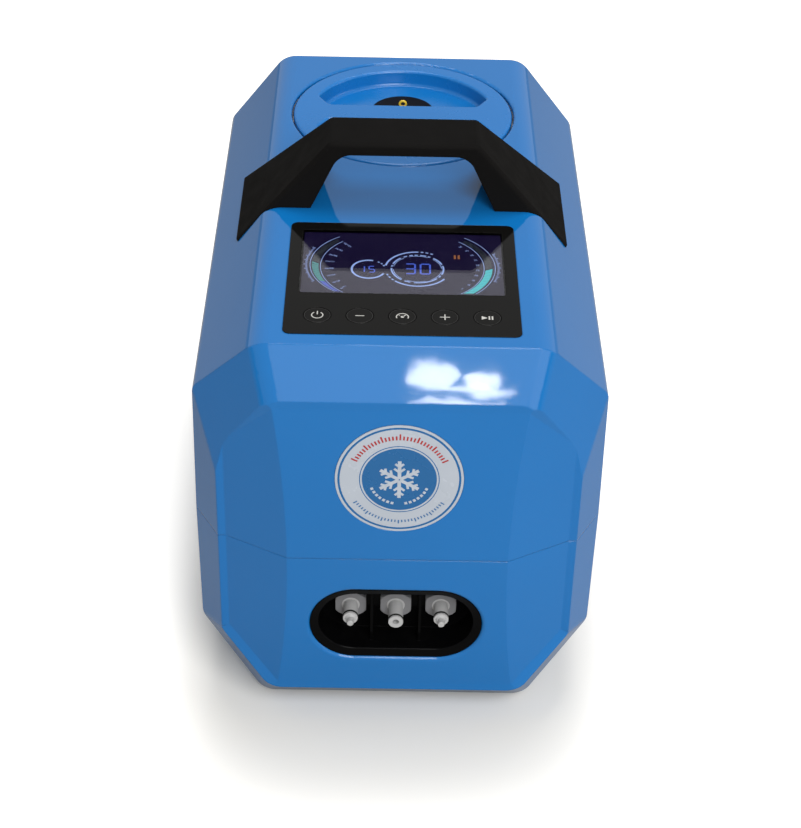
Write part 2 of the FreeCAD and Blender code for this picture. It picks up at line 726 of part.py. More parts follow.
# ---------------------------------------------------------------- case
class Plane:
    """A plane through three points, its normal pointing away from the middle of the case."""

    def __init__(self, a, b, c):
        self.normal = (b - a).cross(c - a).normalize()
        middle = V(0, 0, (TOP + BOTTOM) / 2)
        if self.normal.dot(a - middle) < 0:
            self.normal = self.normal * -1
        self.offset = self.normal.dot(a)

    def y_at(self, x, z):
        return (self.offset - self.normal.x * x - self.normal.z * z) / self.normal.y


def crossing(first, second, y, inset):
    """Where two inset planes cross at a depth y, as a point."""
    a, b = first.normal, second.normal
    ra = first.offset - inset - a.y * y
    rb = second.offset - inset - b.y * y
    det = a.x * b.z - a.z * b.x
    return V((ra * b.z - a.z * rb) / det, y, (a.x * rb - ra * b.x) / det)


def crown_y(z):
    """Depth of the crowned middle facet at a height."""
    return FRONT + CROWN_RADIUS - math.sqrt(CROWN_RADIUS**2 - (z - SEAM) ** 2)


def facet_y(x):
    """Depth of the slanted side facet at a distance from the middle."""
    return FRONT + (x - CENTRE_FACET_HALF) * FACET_SLOPE


def facet_x(y):
    return CENTRE_FACET_HALF + (y - FRONT) / FACET_SLOPE


RIM_TOP = TOP - RIM_TOP_DROP
RIM_BOTTOM = BOTTOM + RIM_BOTTOM_RISE
RIM_TOP_INNER = RIM_TOP - RIM_WIDTH
RIM_BOTTOM_INNER = RIM_BOTTOM + RIM_WIDTH
RIM_TOP_Y = crown_y(RIM_TOP_INNER)
RIM_BOTTOM_Y = crown_y(RIM_BOTTOM_INNER)
RIM_SIDE_X = CASE_HALF_WIDTH - RIM_SIDE_INSET
RIM_SIDE_Y = facet_y(RIM_SIDE_X)
EDGE_TOP_Y = FRONT + TOP_EDGE_SET
EDGE_SIDE_Y = FRONT + SIDE_EDGE_SET
EDGE_BOTTOM_Y = FRONT + BOTTOM_EDGE_SET
FOOT_X = FLAT_HALF - FOOT_SIDE_INSET
FOOT_YS = (EDGE_BOTTOM_Y + FOOT_END_INSET, BACK - FOOT_END_INSET)
CHASSIS_FRONT = EDGE_BOTTOM_Y + CHASSIS_FRONT_SET
CHASSIS_BACK = BACK - CHASSIS_BACK_SET
STANDOFF_X = CHASSIS_HALF - STANDOFF_INSET
STANDOFF_YS = (
    CHASSIS_FRONT + STANDOFF_FRONT_SET,
    BULKHEAD_Y - STANDOFF_BACK_SET,
    CHASSIS_BACK - STANDOFF_BACK_SET,
)

RIM_OUTER_TOP = V(FLAT_HALF - RIM_CORNER_TOP_INSET, RIM_TOP_Y, RIM_TOP)
RIM_OUTER_BOTTOM = V(FLAT_HALF - RIM_CORNER_BOTTOM_INSET, RIM_BOTTOM_Y, RIM_BOTTOM)
EDGE_TOP_CORNER = V(FLAT_HALF, EDGE_TOP_Y, TOP)
EDGE_UPPER_CORNER = V(CASE_HALF_WIDTH, EDGE_SIDE_Y, SHOULDER_TOP)
EDGE_LOWER_CORNER = V(CASE_HALF_WIDTH, EDGE_SIDE_Y, SHOULDER_BOTTOM)
EDGE_BOTTOM_CORNER = V(FLAT_HALF, EDGE_BOTTOM_Y, BOTTOM)

TOP_BEVEL = Plane(V(0, EDGE_TOP_Y, TOP), V(9, EDGE_TOP_Y, TOP), V(0, RIM_TOP_Y, RIM_TOP))
UPPER_BEVEL = Plane(EDGE_TOP_CORNER, EDGE_UPPER_CORNER, RIM_OUTER_TOP)
SIDE_BEVEL = Plane(
    EDGE_UPPER_CORNER,
    EDGE_LOWER_CORNER,
    V(RIM_SIDE_X + SIDE_BEVEL_SHARE * RIM_WIDTH, RIM_SIDE_Y, SEAM),
)
LOWER_BEVEL = Plane(EDGE_BOTTOM_CORNER, EDGE_LOWER_CORNER, RIM_OUTER_BOTTOM)
BOTTOM_BEVEL = Plane(
    V(0, EDGE_BOTTOM_Y, BOTTOM), V(9, EDGE_BOTTOM_Y, BOTTOM), V(0, RIM_BOTTOM_Y, RIM_BOTTOM)
)


def both_sides(right_side):
    """A closed outline from its points on the right, top to bottom."""
    left_side = [V(-p.x, p.y, p.z) for p in reversed(right_side)]
    return right_side + left_side


def section_prism(inset):
    """The case's cross-section, swept from front to back."""
    corners = [
        V(FLAT_HALF, 0, TOP),
        V(CASE_HALF_WIDTH, 0, SHOULDER_TOP),
        V(CASE_HALF_WIDTH + SEAM_BULGE, 0, SEAM),
        V(CASE_HALF_WIDTH, 0, SHOULDER_BOTTOM),
        V(FLAT_HALF, 0, BOTTOM),
    ]
    radii = [TOP_EDGE_RADIUS, SIDE_EDGE_RADIUS, 0, SIDE_EDGE_RADIUS, BOTTOM_EDGE_RADIUS]
    outline = both_sides(corners)
    sides = []
    for here, there in zip(outline, outline[1:] + outline[:1]):
        sides.append(Plane(here, there, here + V(0, 10, 0)))
    y0 = FRONT - 10
    points = [crossing(sides[i - 1], sides[i], y0, inset) for i in range(len(sides))]
    radii = radii + radii[::-1]
    radii = [max(r - inset, 0) for r in radii]
    return rounded_prism(points, radii, V(0, BACK - inset - y0, 0))


def bevel_hull(inset):
    """The flared hull of the front bevels, as a loft between two eight-sided outlines."""
    bevels = [TOP_BEVEL, UPPER_BEVEL, SIDE_BEVEL, LOWER_BEVEL, BOTTOM_BEVEL]
    radius = BEVEL_CORNER_RADIUS - inset
    wires = []
    for y in (FRONT - 18, BACK + 8):
        corners = [crossing(a, b, y, inset) for a, b in zip(bevels, bevels[1:])]
        outline = both_sides(corners)
        wires.append(Part.Wire(rounded_edges(outline, [radius] * len(outline))))
    return Part.makeLoft(wires, True, True)


def panel_prism(inset):
    """Everything behind the crowned middle facet and the two slanted side facets."""
    half = CASE_HALF_WIDTH + 20
    low, high = BOTTOM - 10, TOP + 10
    back = BACK + 20
    radius = CROWN_RADIUS - inset
    centre = FRONT + CROWN_RADIUS

    def on_crown(z):
        return V(-half, centre - math.sqrt(radius**2 - (z - SEAM) ** 2), z)

    crown = Part.Wire(
        [
            Part.Arc(on_crown(low), on_crown(SEAM), on_crown(high)).toShape(),
            Part.makeLine(on_crown(high), V(-half, back, high)),
            Part.makeLine(V(-half, back, high), V(-half, back, low)),
            Part.makeLine(V(-half, back, low), on_crown(low)),
        ]
    )
    crowned = Part.Face(crown).extrude(V(2 * half, 0, 0))
    shift = inset * math.hypot(1, FACET_SLOPE)
    ahead = FRONT - 12
    plan = [
        V(facet_x(ahead - shift), ahead, low),
        V(half, facet_y(half) + shift, low),
        V(half, back, low),
    ]
    plan += [V(-p.x, p.y, p.z) for p in reversed(plan)]
    faceted = face_of(plan).extrude(V(0, 0, high - low))
    return crowned.common(faceted)


def rim_slabs():
    """The flat rim around the panel, one slab per side, mitred at the corners."""
    top_inner = V(facet_x(RIM_TOP_Y), RIM_TOP_Y, RIM_TOP_INNER)
    upper_inner = V(RIM_SIDE_X, RIM_SIDE_Y, SHOULDER_TOP - RIM_CORNER_UPPER_DROP)
    lower_inner = V(RIM_SIDE_X, RIM_SIDE_Y, SHOULDER_BOTTOM + RIM_CORNER_LOWER_RISE)
    bottom_inner = V(facet_x(RIM_BOTTOM_Y), RIM_BOTTOM_Y, RIM_BOTTOM_INNER)
    corner_out = V(RIM_WIDTH, 0, RIM_CORNER_LEAN * RIM_WIDTH)
    inner = [top_inner, upper_inner, lower_inner, bottom_inner]
    outward = [
        RIM_OUTER_TOP - top_inner,
        corner_out,
        V(corner_out.x, 0, -corner_out.z),
        RIM_OUTER_BOTTOM - bottom_inner,
    ]
    planes = [
        Plane(inner[0], inner[1], inner[0] + outward[0]),
        Plane(inner[1], inner[2], inner[1] + V(1, 0, 0)),
        Plane(inner[2], inner[3], inner[3] + outward[3]),
    ]
    stretch = 6
    slabs = []
    for i, plane in enumerate(planes):
        plan = [
            inner[i],
            inner[i + 1],
            inner[i + 1] + outward[i + 1] * stretch,
            inner[i] + outward[i] * stretch,
        ]
        front = face_of([V(p.x, plane.y_at(p.x, p.z), p.z) for p in plan])
        slabs.append(front.extrude(V(0, CASE_LENGTH / 2, 0)))
    slabs += [mirrored(slab) for slab in slabs]
    for corner, out in ((inner[0], outward[0]), (inner[3], outward[3])):
        plan = [corner, corner + out * stretch]
        plan += [V(-p.x, p.y, p.z) for p in reversed(plan)]
        slabs.append(face_of(plan).extrude(V(0, CASE_LENGTH / 2, 0)))
    return slabs


def case_solid(inset=0.0, with_rim=False):
    """The whole case as one solid, its skin moved inward by the inset."""
    hull = section_prism(inset).common(bevel_hull(inset))
    trimmed = hull.common(panel_prism(inset))
    if not with_rim:
        return trimmed
    return joined([trimmed] + [hull.common(slab) for slab in rim_slabs()])


CASE_OUTER = case_solid(0.0, True)
CASE_INNER = case_solid(WALL)
CASE_MIDDLE = case_solid(WALL / 2)


def slice_of(shape, z0, z1):
    return shape.common(block(-FAR, FAR, -FAR, FAR, z0, z1))


def inner_rib(x0, x1, y0, y1, z0, z1):
    """A rib inside the case that ends in its wall."""
    return block(x0, x1, y0, y1, z0, z1).common(CASE_MIDDLE)


def corner_bosses(z0, z1, radius, rib_z0):
    """Screw columns along both sides, each tied to the side wall by a rib."""
    columns = []
    half = BOSS_RIB_THICKNESS / 2
    for y in BOSS_YS:
        column = post(BOSS_X, y, z0, z1, radius)
        rib = block(BOSS_X, CASE_HALF_WIDTH + SEAM_BULGE, y - half, y + half, rib_z0, z1)
        whole = column.fuse(rib).common(CASE_MIDDLE)
        columns += [whole, mirrored(whole)]
    return columns


def boss_holes(z0, z1, radius):
    holes = []
    for y in BOSS_YS:
        for x in (-BOSS_X, BOSS_X):
            holes.append(post(x, y, z0, z1, radius))
    return holes


def hole_edge(y, radius, rounding):
    """What is cut away to round the upper edge of a round hole in the top."""
    centre = V(radius + rounding, 0, TOP - rounding)
    diagonal = rounding * math.sin(math.pi / 4)
    low = centre + V(-rounding, 0, 0)
    high = centre + V(0, 0, rounding)
    middle = centre + V(-diagonal, 0, diagonal)
    above = V(high.x, 0, TOP + PAST)
    inside = V(radius - PAST, 0, TOP + PAST)
    edges = [
        Part.Arc(low, middle, high).toShape(),
        Part.makeLine(high, above),
        Part.makeLine(above, inside),
        Part.makeLine(inside, V(inside.x, 0, low.z)),
        Part.makeLine(V(inside.x, 0, low.z), low),
    ]
    profile = Part.Face(Part.Wire(edges))
    profile.translate(V(0, y, 0))
    return profile.revolve(V(0, y, 0), V(0, 0, 1), 360)


def upper_housing():
    shell = slice_of(CASE_OUTER.cut(CASE_INNER), SEAM + PARTING_GAP / 2, TOP + 10)
    ledge = rounded_block(
        -BEZEL_HALF_WIDTH - LEDGE_WIDTH,
        BEZEL_HALF_WIDTH + LEDGE_WIDTH,
        BEZEL_FRONT - LEDGE_WIDTH,
        BEZEL_BACK + LEDGE_WIDTH,
        LEDGE_BOTTOM,
        INNER_TOP + INTO,
        BEZEL_CORNER_RADIUS + LEDGE_WIDTH,
    ).common(CASE_MIDDLE)
    handle_pads = []
    for y in HANDLE_SCREW_YS:
        pad = post(HANDLE_SCREW_X, y, HANDLE_PAD_BOTTOM, INNER_TOP + INTO, HANDLE_PAD_RADIUS)
        handle_pads += [pad, mirrored(pad)]
    over_lip = SEAM + LIP_RISE + LIP_HEADROOM
    bosses = corner_bosses(BOSS_TOP, SEAM + BOSS_RISE, BOSS_RADIUS, over_lip)
    shell = joined([shell, ledge] + handle_pads + bosses)
    pocket = rounded_block(
        -BEZEL_HALF_WIDTH,
        BEZEL_HALF_WIDTH,
        BEZEL_FRONT,
        BEZEL_BACK,
        BEZEL_BOTTOM,
        TOP + PAST,
        BEZEL_CORNER_RADIUS,
    )
    opening = rounded_block(
        -BEZEL_HALF_WIDTH + LEDGE_WIDTH,
        BEZEL_HALF_WIDTH - LEDGE_WIDTH,
        BEZEL_FRONT + LEDGE_WIDTH,
        BEZEL_BACK - LEDGE_WIDTH,
        LEDGE_BOTTOM - 10,
        TOP,
        DISPLAY_OPENING_RADIUS,
    )
    lid_hole = post(0, LID_Y, INNER_TOP - 10, TOP + PAST, LID_RADIUS + LID_GAP)
    lid_hole_edge = hole_edge(LID_Y, LID_RADIUS + LID_GAP, LID_HOLE_EDGE_RADIUS)
    screw_holes = boss_holes(BOSS_TOP - PAST, SEAM + HOUSING_SCREW_PILOT, SCREW_RADIUS)
    for y in HANDLE_SCREW_YS:
        for x in (-HANDLE_SCREW_X, HANDLE_SCREW_X):
            screw_holes.append(post(x, y, INNER_TOP - 10, TOP + 5, SCREW_RADIUS))
    badge_seat = badge_solid(BADGE_RADIUS + BADGE_GAP, BADGE_UNDER, 2.0)
    return less(shell, pocket, opening, lid_hole, lid_hole_edge, badge_seat, *screw_holes)


def round_port_edge(shell):
    """Round the edge between the panel and the opening for the port."""
    reach_x, reach_z = PORT_HALF_SPACING + PORT_RADIUS + PAST, PORT_RADIUS + PAST
    rims = []
    for edge in shell.Edges:
        box = edge.BoundBox
        ahead = box.YMax < FRONT + WALL - 0.2
        inside = box.XMax < reach_x and -reach_x < box.XMin
        beside = PORT_Z - reach_z < box.ZMin and box.ZMax < PORT_Z + reach_z
        if ahead and inside and beside:
            rims.append(edge)
    return shell.makeFillet(PORT_EDGE_RADIUS, rims)


def lap_lip():
    """The lip inside the seam that lines the two halves up."""
    core = case_solid(WALL + LIP_THICKNESS)
    grip = slice_of(CASE_INNER.cut(core), SEAM - LIP_GRIP, SEAM - LIP_GRIP_GAP)
    free = case_solid(WALL + LIP_CLEARANCE).cut(core)
    return [grip, slice_of(free, SEAM - PAST, SEAM + LIP_RISE)]


def rear_opening():
    return block(
        FAN_OFFSET - GRILLE_HALF,
        FAN_OFFSET + GRILLE_HALF,
        INNER_BACK - 5,
        BACK + PAST,
        GRILLE_BOTTOM,
        GRILLE_TOP,
    )


def floor_slots(half, z0, z1):
    """The air slots under the heat sink, through a floor from z0 to z1."""
    slots = []
    for i in range(FLOOR_SLOTS):
        y = HEATSINK_FRONT + FLOOR_SLOT_SET + i * FLOOR_SLOT_PITCH
        x0, x1 = FAN_OFFSET - half, FAN_OFFSET + half
        slots.append(block(x0, x1, y, y + FLOOR_SLOT_WIDTH, z0 - PAST, z1 + PAST))
    return slots


def lower_housing():
    shell = slice_of(CASE_OUTER.cut(CASE_INNER), BOTTOM - PAST, SEAM - PARTING_GAP / 2)
    additions = lap_lip() + corner_bosses(BOTTOM, BOSS_TOP, BOSS_BASE_RADIUS, BOTTOM)
    for y in STANDOFF_YS:
        for x in (-STANDOFF_X, STANDOFF_X):
            additions.append(post(x, y, FLOOR - INTO, CHASSIS_BOTTOM, STANDOFF_RADIUS))
    shell = joined([shell] + additions)
    shell = round_port_edge(shell.cut(stadium(FRONT - 5, PORT_WALL_Y + 10, PORT_RADIUS)))
    cuts = [rear_opening()]
    cuts.append(
        block(
            INLET_X - INLET_HALF_WIDTH,
            INLET_X + INLET_HALF_WIDTH,
            INNER_BACK - 5,
            BACK + PAST,
            INLET_BODY_BOTTOM,
            INLET_BODY_TOP,
        )
    )
    head_seat = BOSS_TOP - HOUSING_SCREW_SEAT
    cuts += boss_holes(BOTTOM - PAST, head_seat, SCREW_HEAD_RADIUS + SCREW_HEAD_CLEARANCE)
    cuts += boss_holes(head_seat - PAST, BOSS_TOP + PAST, SCREW_RADIUS)
    for y in STANDOFF_YS:
        for x in (-STANDOFF_X, STANDOFF_X):
            cuts.append(post(x, y, FLOOR + STANDOFF_FLOOR, CHASSIS_BOTTOM + PAST, SCREW_RADIUS))
    for y in FOOT_YS:
        for x in (-FOOT_X, FOOT_X):
            cuts.append(post(x, y, BOTTOM - PAST, FLOOR + PAST, FOOT_STEM_RADIUS))
    cuts += floor_slots(FLOOR_SLOT_HALF, BOTTOM, FLOOR)
    return less(shell, *cuts)


def feet():
    """A rubber foot under each corner, its stem pushed into the floor."""
    pieces = {}
    for end, y in zip(("front", "back"), FOOT_YS):
        for side, x in (("left", -FOOT_X), ("right", FOOT_X)):
            pad = Part.makeCone(FOOT_RADIUS - FOOT_TAPER, FOOT_RADIUS, FOOT_HEIGHT, V(x, y, 0))
            stem = post(x, y, BOTTOM, FLOOR + FOOT_STEM_PROUD, FOOT_STEM_RADIUS)
            pieces[f"foot_{end}_{side}"] = joined([pad, stem])
    return pieces


def screw_up(x, y, z, length):
    """A screw pointing up, its head's underside at z."""
    head = post(x, y, z - SCREW_HEAD_HEIGHT, z, SCREW_HEAD_RADIUS)
    return joined([head, post(x, y, z, z + length, SCREW_RADIUS)])


def housing_screws():
    screws = []
    for y in BOSS_YS:
        for x in (-BOSS_X, BOSS_X):
            screws.append(screw_up(x, y, BOSS_TOP - HOUSING_SCREW_SEAT, HOUSING_SCREW_LENGTH))
    return Part.makeCompound(screws)


# ---------------------------------------------------------------- handle
def handle_outline():
    """The arch seen from the front, before the finger opening is cut."""
    outward = V(CHAMFER_HEIGHT, 0, CHAMFER_WIDTH).normalize()
    foot = V(HANDLE_FOOT_X, HANDLE_FRONT, HANDLE_FOOT_Z)
    right = [
        V(HANDLE_TOP_HALF, HANDLE_FRONT, HANDLE_TOP),
        foot + outward * HANDLE_PROUD,
        foot - outward * 8,
    ]
    radii = [HANDLE_CORNER_RADIUS, 0, 0, 0, 0, HANDLE_CORNER_RADIUS]
    return rounded_prism(both_sides(right), radii, V(0, HANDLE_FOOT_DEPTH + 20, 0))


def handle_opening():
    """The finger opening, with the palm's bulge left under the grip."""
    top = HANDLE_UNDERSIDE
    narrow = HANDLE_OPENING_HALF - (top - TOP) * HANDLE_OPENING_SLOPE
    wide = HANDLE_OPENING_HALF + (TOP - SHOULDER_TOP) * HANDLE_OPENING_SLOPE
    y0 = HANDLE_FRONT - 10
    right = [V(narrow, y0, top), V(wide, y0, SHOULDER_TOP)]
    radii = [HANDLE_OPENING_RADIUS, 0, 0, HANDLE_OPENING_RADIUS]
    gap = rounded_prism(both_sides(right), radii, V(0, HANDLE_FOOT_DEPTH + 40, 0))
    half = HANDLE_TOP_HALF
    back = HANDLE_FRONT + HANDLE_TOP_DEPTH + HANDLE_BULGE_OVERHANG
    low = top - HANDLE_GRIP_BULGE
    arc = Part.Arc(
        V(-half, HANDLE_FRONT, top), V(-half, (HANDLE_FRONT + back) / 2, low), V(-half, back, top)
    )
    lid = Part.Wire(
        [
            arc.toShape(),
            Part.makeLine(V(-half, back, top), V(-half, back, top + 2)),
            Part.makeLine(V(-half, back, top + 2), V(-half, HANDLE_FRONT, top + 2)),
            Part.makeLine(V(-half, HANDLE_FRONT, top + 2), V(-half, HANDLE_FRONT, top)),
        ]
    )
    bulge = Part.Face(lid).extrude(V(2 * half, 0, 0))
    return gap.cut(bulge)


def handle_back():
    """Everything in front of the arch's slanted back."""
    high, low = HANDLE_TOP + 5, SHOULDER_TOP - 5
    slant = (HANDLE_FOOT_DEPTH - HANDLE_TOP_DEPTH) / (HANDLE_TOP - HANDLE_FOOT_Z)
    top_y = HANDLE_FRONT + HANDLE_TOP_DEPTH
    half = CASE_HALF_WIDTH + 10
    profile = [
        V(-half, HANDLE_FRONT - PAST, low),
        V(-half, HANDLE_FRONT - PAST, high),
        V(-half, top_y - 5 * slant, high),
        V(-half, top_y + (HANDLE_TOP - low) * slant, low),
    ]
    return face_of(profile).extrude(V(2 * half, 0, 0))


def carry_handle():
    arch = handle_outline().cut(handle_opening()).common(handle_back())
    arch = arch.cut(CASE_OUTER)
    grip_edges = []
    for edge in arch.Edges:
        box = edge.BoundBox
        if box.ZMin > HANDLE_TOP - 0.5 and box.XLength > HANDLE_TOP_HALF:
            grip_edges.append(edge)
    arch = arch.makeFillet(HANDLE_EDGE_RADIUS, grip_edges)
    pilots = []
    for y in HANDLE_SCREW_YS:
        for x in (-HANDLE_SCREW_X, HANDLE_SCREW_X):
            pilots.append(post(x, y, TOP - PAST, TOP + HANDLE_SCREW_DEPTH, SCREW_RADIUS))
    return less(arch, *pilots)


def handle_screws():
    screws = []
    length = TOP + HANDLE_SCREW_DEPTH - PAST - HANDLE_PAD_BOTTOM
    for y in HANDLE_SCREW_YS:
        for x in (-HANDLE_SCREW_X, HANDLE_SCREW_X):
            screws.append(screw_up(x, y, HANDLE_PAD_BOTTOM, length))
    return Part.makeCompound(screws)


# ---------------------------------------------------------------- display and keys
def key_places():
    for i, name in enumerate(KEY_NAMES):
        yield name, (i - 2) * KEY_PITCH


def bezel_legs():
    """The legs under the bezel that carry the board."""
    legs = []
    side = BEZEL_HALF_WIDTH - BEZEL_LEG_SIDE_INSET
    for x in (-side, side):
        for y in (BEZEL_FRONT + BEZEL_LEG_FRONT_SET, WINDOW_FRONT - BEZEL_LEG_WINDOW_SET):
            legs.append(post(x, y, BOARD_TOP, BEZEL_BOTTOM + INTO, BEZEL_LEG_RADIUS))
    return legs


def window_block(inset, z0, z1):
    """The window's outline, or one inside it, as a block."""
    return rounded_block(
        -WINDOW_HALF_WIDTH + inset,
        WINDOW_HALF_WIDTH - inset,
        WINDOW_FRONT + inset,
        WINDOW_BACK - inset,
        z0,
        z1,
        WINDOW_CORNER_RADIUS - inset,
    )


def display_bezel():
    plate = rounded_block(
        -BEZEL_HALF_WIDTH,
        BEZEL_HALF_WIDTH,
        BEZEL_FRONT,
        BEZEL_BACK,
        BEZEL_BOTTOM,
        BEZEL_TOP,
        BEZEL_CORNER_RADIUS,
    )
    plate = joined([plate] + bezel_legs())
    window = window_block(0, BEZEL_TOP - WINDOW_THICKNESS, BEZEL_TOP + PAST)
    sight = window_block(WINDOW_LEDGE, BEZEL_BOTTOM - PAST, BEZEL_TOP)
    holes = []
    for _, x in key_places():
        holes.append(post(x, KEY_Y, BEZEL_BOTTOM - PAST, BEZEL_TOP + PAST, KEY_RADIUS + KEY_GAP))
    return less(plate, window, sight, *holes)


def display_window():
    return window_block(0, BEZEL_TOP - WINDOW_THICKNESS, BEZEL_TOP)


def lcd_panel():
    return window_block(WINDOW_LEDGE, BOARD_TOP, BEZEL_TOP - WINDOW_THICKNESS - SCREEN_GAP)


def display_board():
    inset = LEDGE_WIDTH + BOARD_CLEARANCE
    return rounded_block(
        -BEZEL_HALF_WIDTH + inset,
        BEZEL_HALF_WIDTH - inset,
        BEZEL_FRONT + inset,
        BEZEL_BACK - inset,
        BOARD_TOP - BOARD_THICKNESS,
        BOARD_TOP,
        BOARD_CORNER_RADIUS,
    )


def button_switches():
    """One small tactile switch under each key."""
    switches = []
    half = SWITCH_HALF
    for _, x in key_places():
        base = block(x - half, x + half, KEY_Y - half, KEY_Y + half, BOARD_TOP, SWITCH_BASE_TOP)
        plunger = post(x, KEY_Y, SWITCH_BASE_TOP, SWITCH_TOP, SWITCH_PLUNGER_RADIUS)
        switches.append(joined([base, plunger]))
    return Part.makeCompound(switches)


def key(x):
    """A key cap, its flange held under the bezel and its stem over a switch."""
    cap = post(x, KEY_Y, KEY_FLANGE_TOP - INTO, BEZEL_TOP, KEY_RADIUS)
    rims = [e for e in cap.Edges if e.BoundBox.ZMin > BEZEL_TOP - 0.01]
    cap = cap.makeFillet(KEY_EDGE_RADIUS, rims)
    flange = post(x, KEY_Y, KEY_FLANGE_BOTTOM, KEY_FLANGE_TOP, KEY_FLANGE_RADIUS)
    stem_bottom = SWITCH_TOP + KEY_TRAVEL + KEY_STEM_GAP
    stem = post(x, KEY_Y, stem_bottom, KEY_FLANGE_BOTTOM + INTO, KEY_STEM_RADIUS)
    return joined([cap, flange, stem])


# ---------------------------------------------------------------- lid and tank
def recess_outline(radius, behind):
    """One finger recess of the lid: a straight side by the bar, an arc by the rim."""
    bar = LID_BAR_WIDTH / 2
    shoulder_x, shoulder_y = LID_SHOULDER_SHARE * radius, bar
    side_x, side_y = LID_FLANK_X_SHARE * radius, LID_FLANK_Y_SHARE * radius
    z = LID_FLOOR
    points = [V(-shoulder_x, shoulder_y, z), V(shoulder_x, shoulder_y, z), V(side_x, side_y, z)]
    rim = Part.Arc(V(side_x, side_y, z), V(0, radius, z), V(-side_x, side_y, z)).toShape()
    edges = [
        Part.makeLine(points[0], points[1]),
        Part.makeLine(points[1], points[2]),
        rim,
        Part.makeLine(V(-side_x, side_y, z), points[0]),
    ]
    face = Part.Face(Part.Wire(edges))
    solid = face.extrude(V(0, 0, LID_RECESS_DEPTH + PAST))
    if not behind:
        solid = solid.mirror(V(0, 0, 0), V(0, 1, 0))
    return solid


def lid_recesses():
    recesses = []
    for behind in (True, False):
        solid = recess_outline(LID_RECESS_RADIUS, behind)
        corners = []
        for edge in solid.Edges:
            upright = edge.BoundBox.ZLength > LID_RECESS_DEPTH
            if upright and abs(edge.BoundBox.XMin) > 0.7 * LID_RECESS_RADIUS:
                corners.append(edge)
        solid = solid.makeFillet(LID_RECESS_CORNER_RADIUS, corners)
        floor_edges = [e for e in solid.Edges if e.BoundBox.ZMax < LID_FLOOR + 0.01]
        solid = solid.makeFillet(LID_RECESS_FLOOR_RADIUS, floor_edges)
        solid.translate(V(0, LID_Y, 0))
        recesses.append(solid)
    return recesses


def vent_disc(z0, z1, radius):
    """The vent's round base, cut off straight by the lid's bar."""
    disc = post(0, VENT_Y, z0, z1, radius)
    bar_side = LID_Y + LID_BAR_WIDTH / 2 + VENT_BAR_GAP
    return disc.common(block(-FAR, FAR, bar_side, FAR, z0 - 1, z1 + 1))


def tank_lid():
    """The lid's cap: its flange and the two finger recesses with the bar between them."""
    flange = post(0, LID_Y, FLANGE_BOTTOM, TOP, LID_RADIUS)
    rims = [e for e in flange.Edges if e.BoundBox.ZMin > TOP - 0.01]
    flange = flange.makeFillet(LID_EDGE_RADIUS, rims)
    head = post(0, LID_Y, LID_UNDERSIDE, FLANGE_BOTTOM + INTO, LID_SKIRT_RADIUS)
    vent_seat = vent_disc(LID_UNDERSIDE - PAST, LID_FLOOR + PAST, VENT_RADIUS)
    cap = less(joined([flange, head]), vent_seat, *lid_recesses())
    brims = []
    for edge in cap.Edges:
        at_top = edge.BoundBox.ZMin > TOP - 0.01
        if at_top and edge.BoundBox.XLength < 2 * LID_RECESS_RADIUS + 1:
            brims.append(edge)
    return cap.makeFillet(LID_RECESS_EDGE_RADIUS, brims)


def lid_skirt():
    """The ring welded under the lid's cap, with the lugs of its bayonet."""
    wall = ring(
        0, LID_Y, SKIRT_BOTTOM, LID_UNDERSIDE, LID_SKIRT_RADIUS, LID_SKIRT_RADIUS - WALL
    )
    lugs = []
    for i in range(LUG_COUNT):
        lugs.append(
            sector(
                0,
                LID_Y,
                SKIRT_BOTTOM,
                SKIRT_BOTTOM + LUG_THICKNESS,
                LUG_RADIUS,
                LID_SKIRT_RADIUS - WALL / 2,
                LUG_FIRST_ANGLE + i * 360 / LUG_COUNT,
                LUG_ANGLE,
            )
        )
    return joined([wall] + lugs)


def lid_vent_base():
    base = vent_disc(LID_UNDERSIDE, VENT_TOP, VENT_RADIUS)
    return base.cut(post(0, VENT_Y, LID_UNDERSIDE - PAST, VENT_TOP + PAST, VENT_STEM_RADIUS))


def lid_vent_pin():
    """The vent's pin, with a small ring at its top."""
    stem_top = LID_FLOOR + VENT_STEM_RISE
    stem = post(0, VENT_Y, LID_UNDERSIDE - VENT_STEM_REACH, stem_top, VENT_STEM_RADIUS)
    middle = V(0, VENT_Y, stem_top + VENT_LOOP_RADIUS - VENT_LOOP_SINK)
    loop = Part.makeTorus(VENT_LOOP_RADIUS, VENT_LOOP_THICKNESS / 2, middle, V(0, 1, 0))
    return joined([stem, loop])


def lid_gasket():
    outer = LID_RADIUS - GASKET_INSET
    return ring(0, LID_Y, COLLAR_TOP, FLANGE_BOTTOM, outer, LID_SKIRT_RADIUS + GASKET_CLEARANCE)


def lid_collar():
    """The bayonet collar between the tank's neck and the top of the case."""
    seat = ring(0, LID_Y, COLLAR_BOTTOM, COLLAR_TOP, COLLAR_OUTER, COLLAR_INNER)
    upstand = ring(
        0, LID_Y, COLLAR_TOP - INTO, INNER_TOP, COLLAR_OUTER, LID_RADIUS + LID_GAP
    ).common(CASE_INNER)
    lugs = []
    for i in range(LUG_COUNT):
        middle = COLLAR_LUG_FIRST_ANGLE + i * 360 / LUG_COUNT
        lugs.append(
            sector(
                0,
                LID_Y,
                COLLAR_BOTTOM,
                COLLAR_BOTTOM + COLLAR_LUG_THICKNESS,
                COLLAR_INNER + PAST,
                LID_SKIRT_RADIUS + COLLAR_CLEARANCE,
                middle,
                COLLAR_LUG_ANGLE,
            )
        )
    return joined([seat, upstand] + lugs)


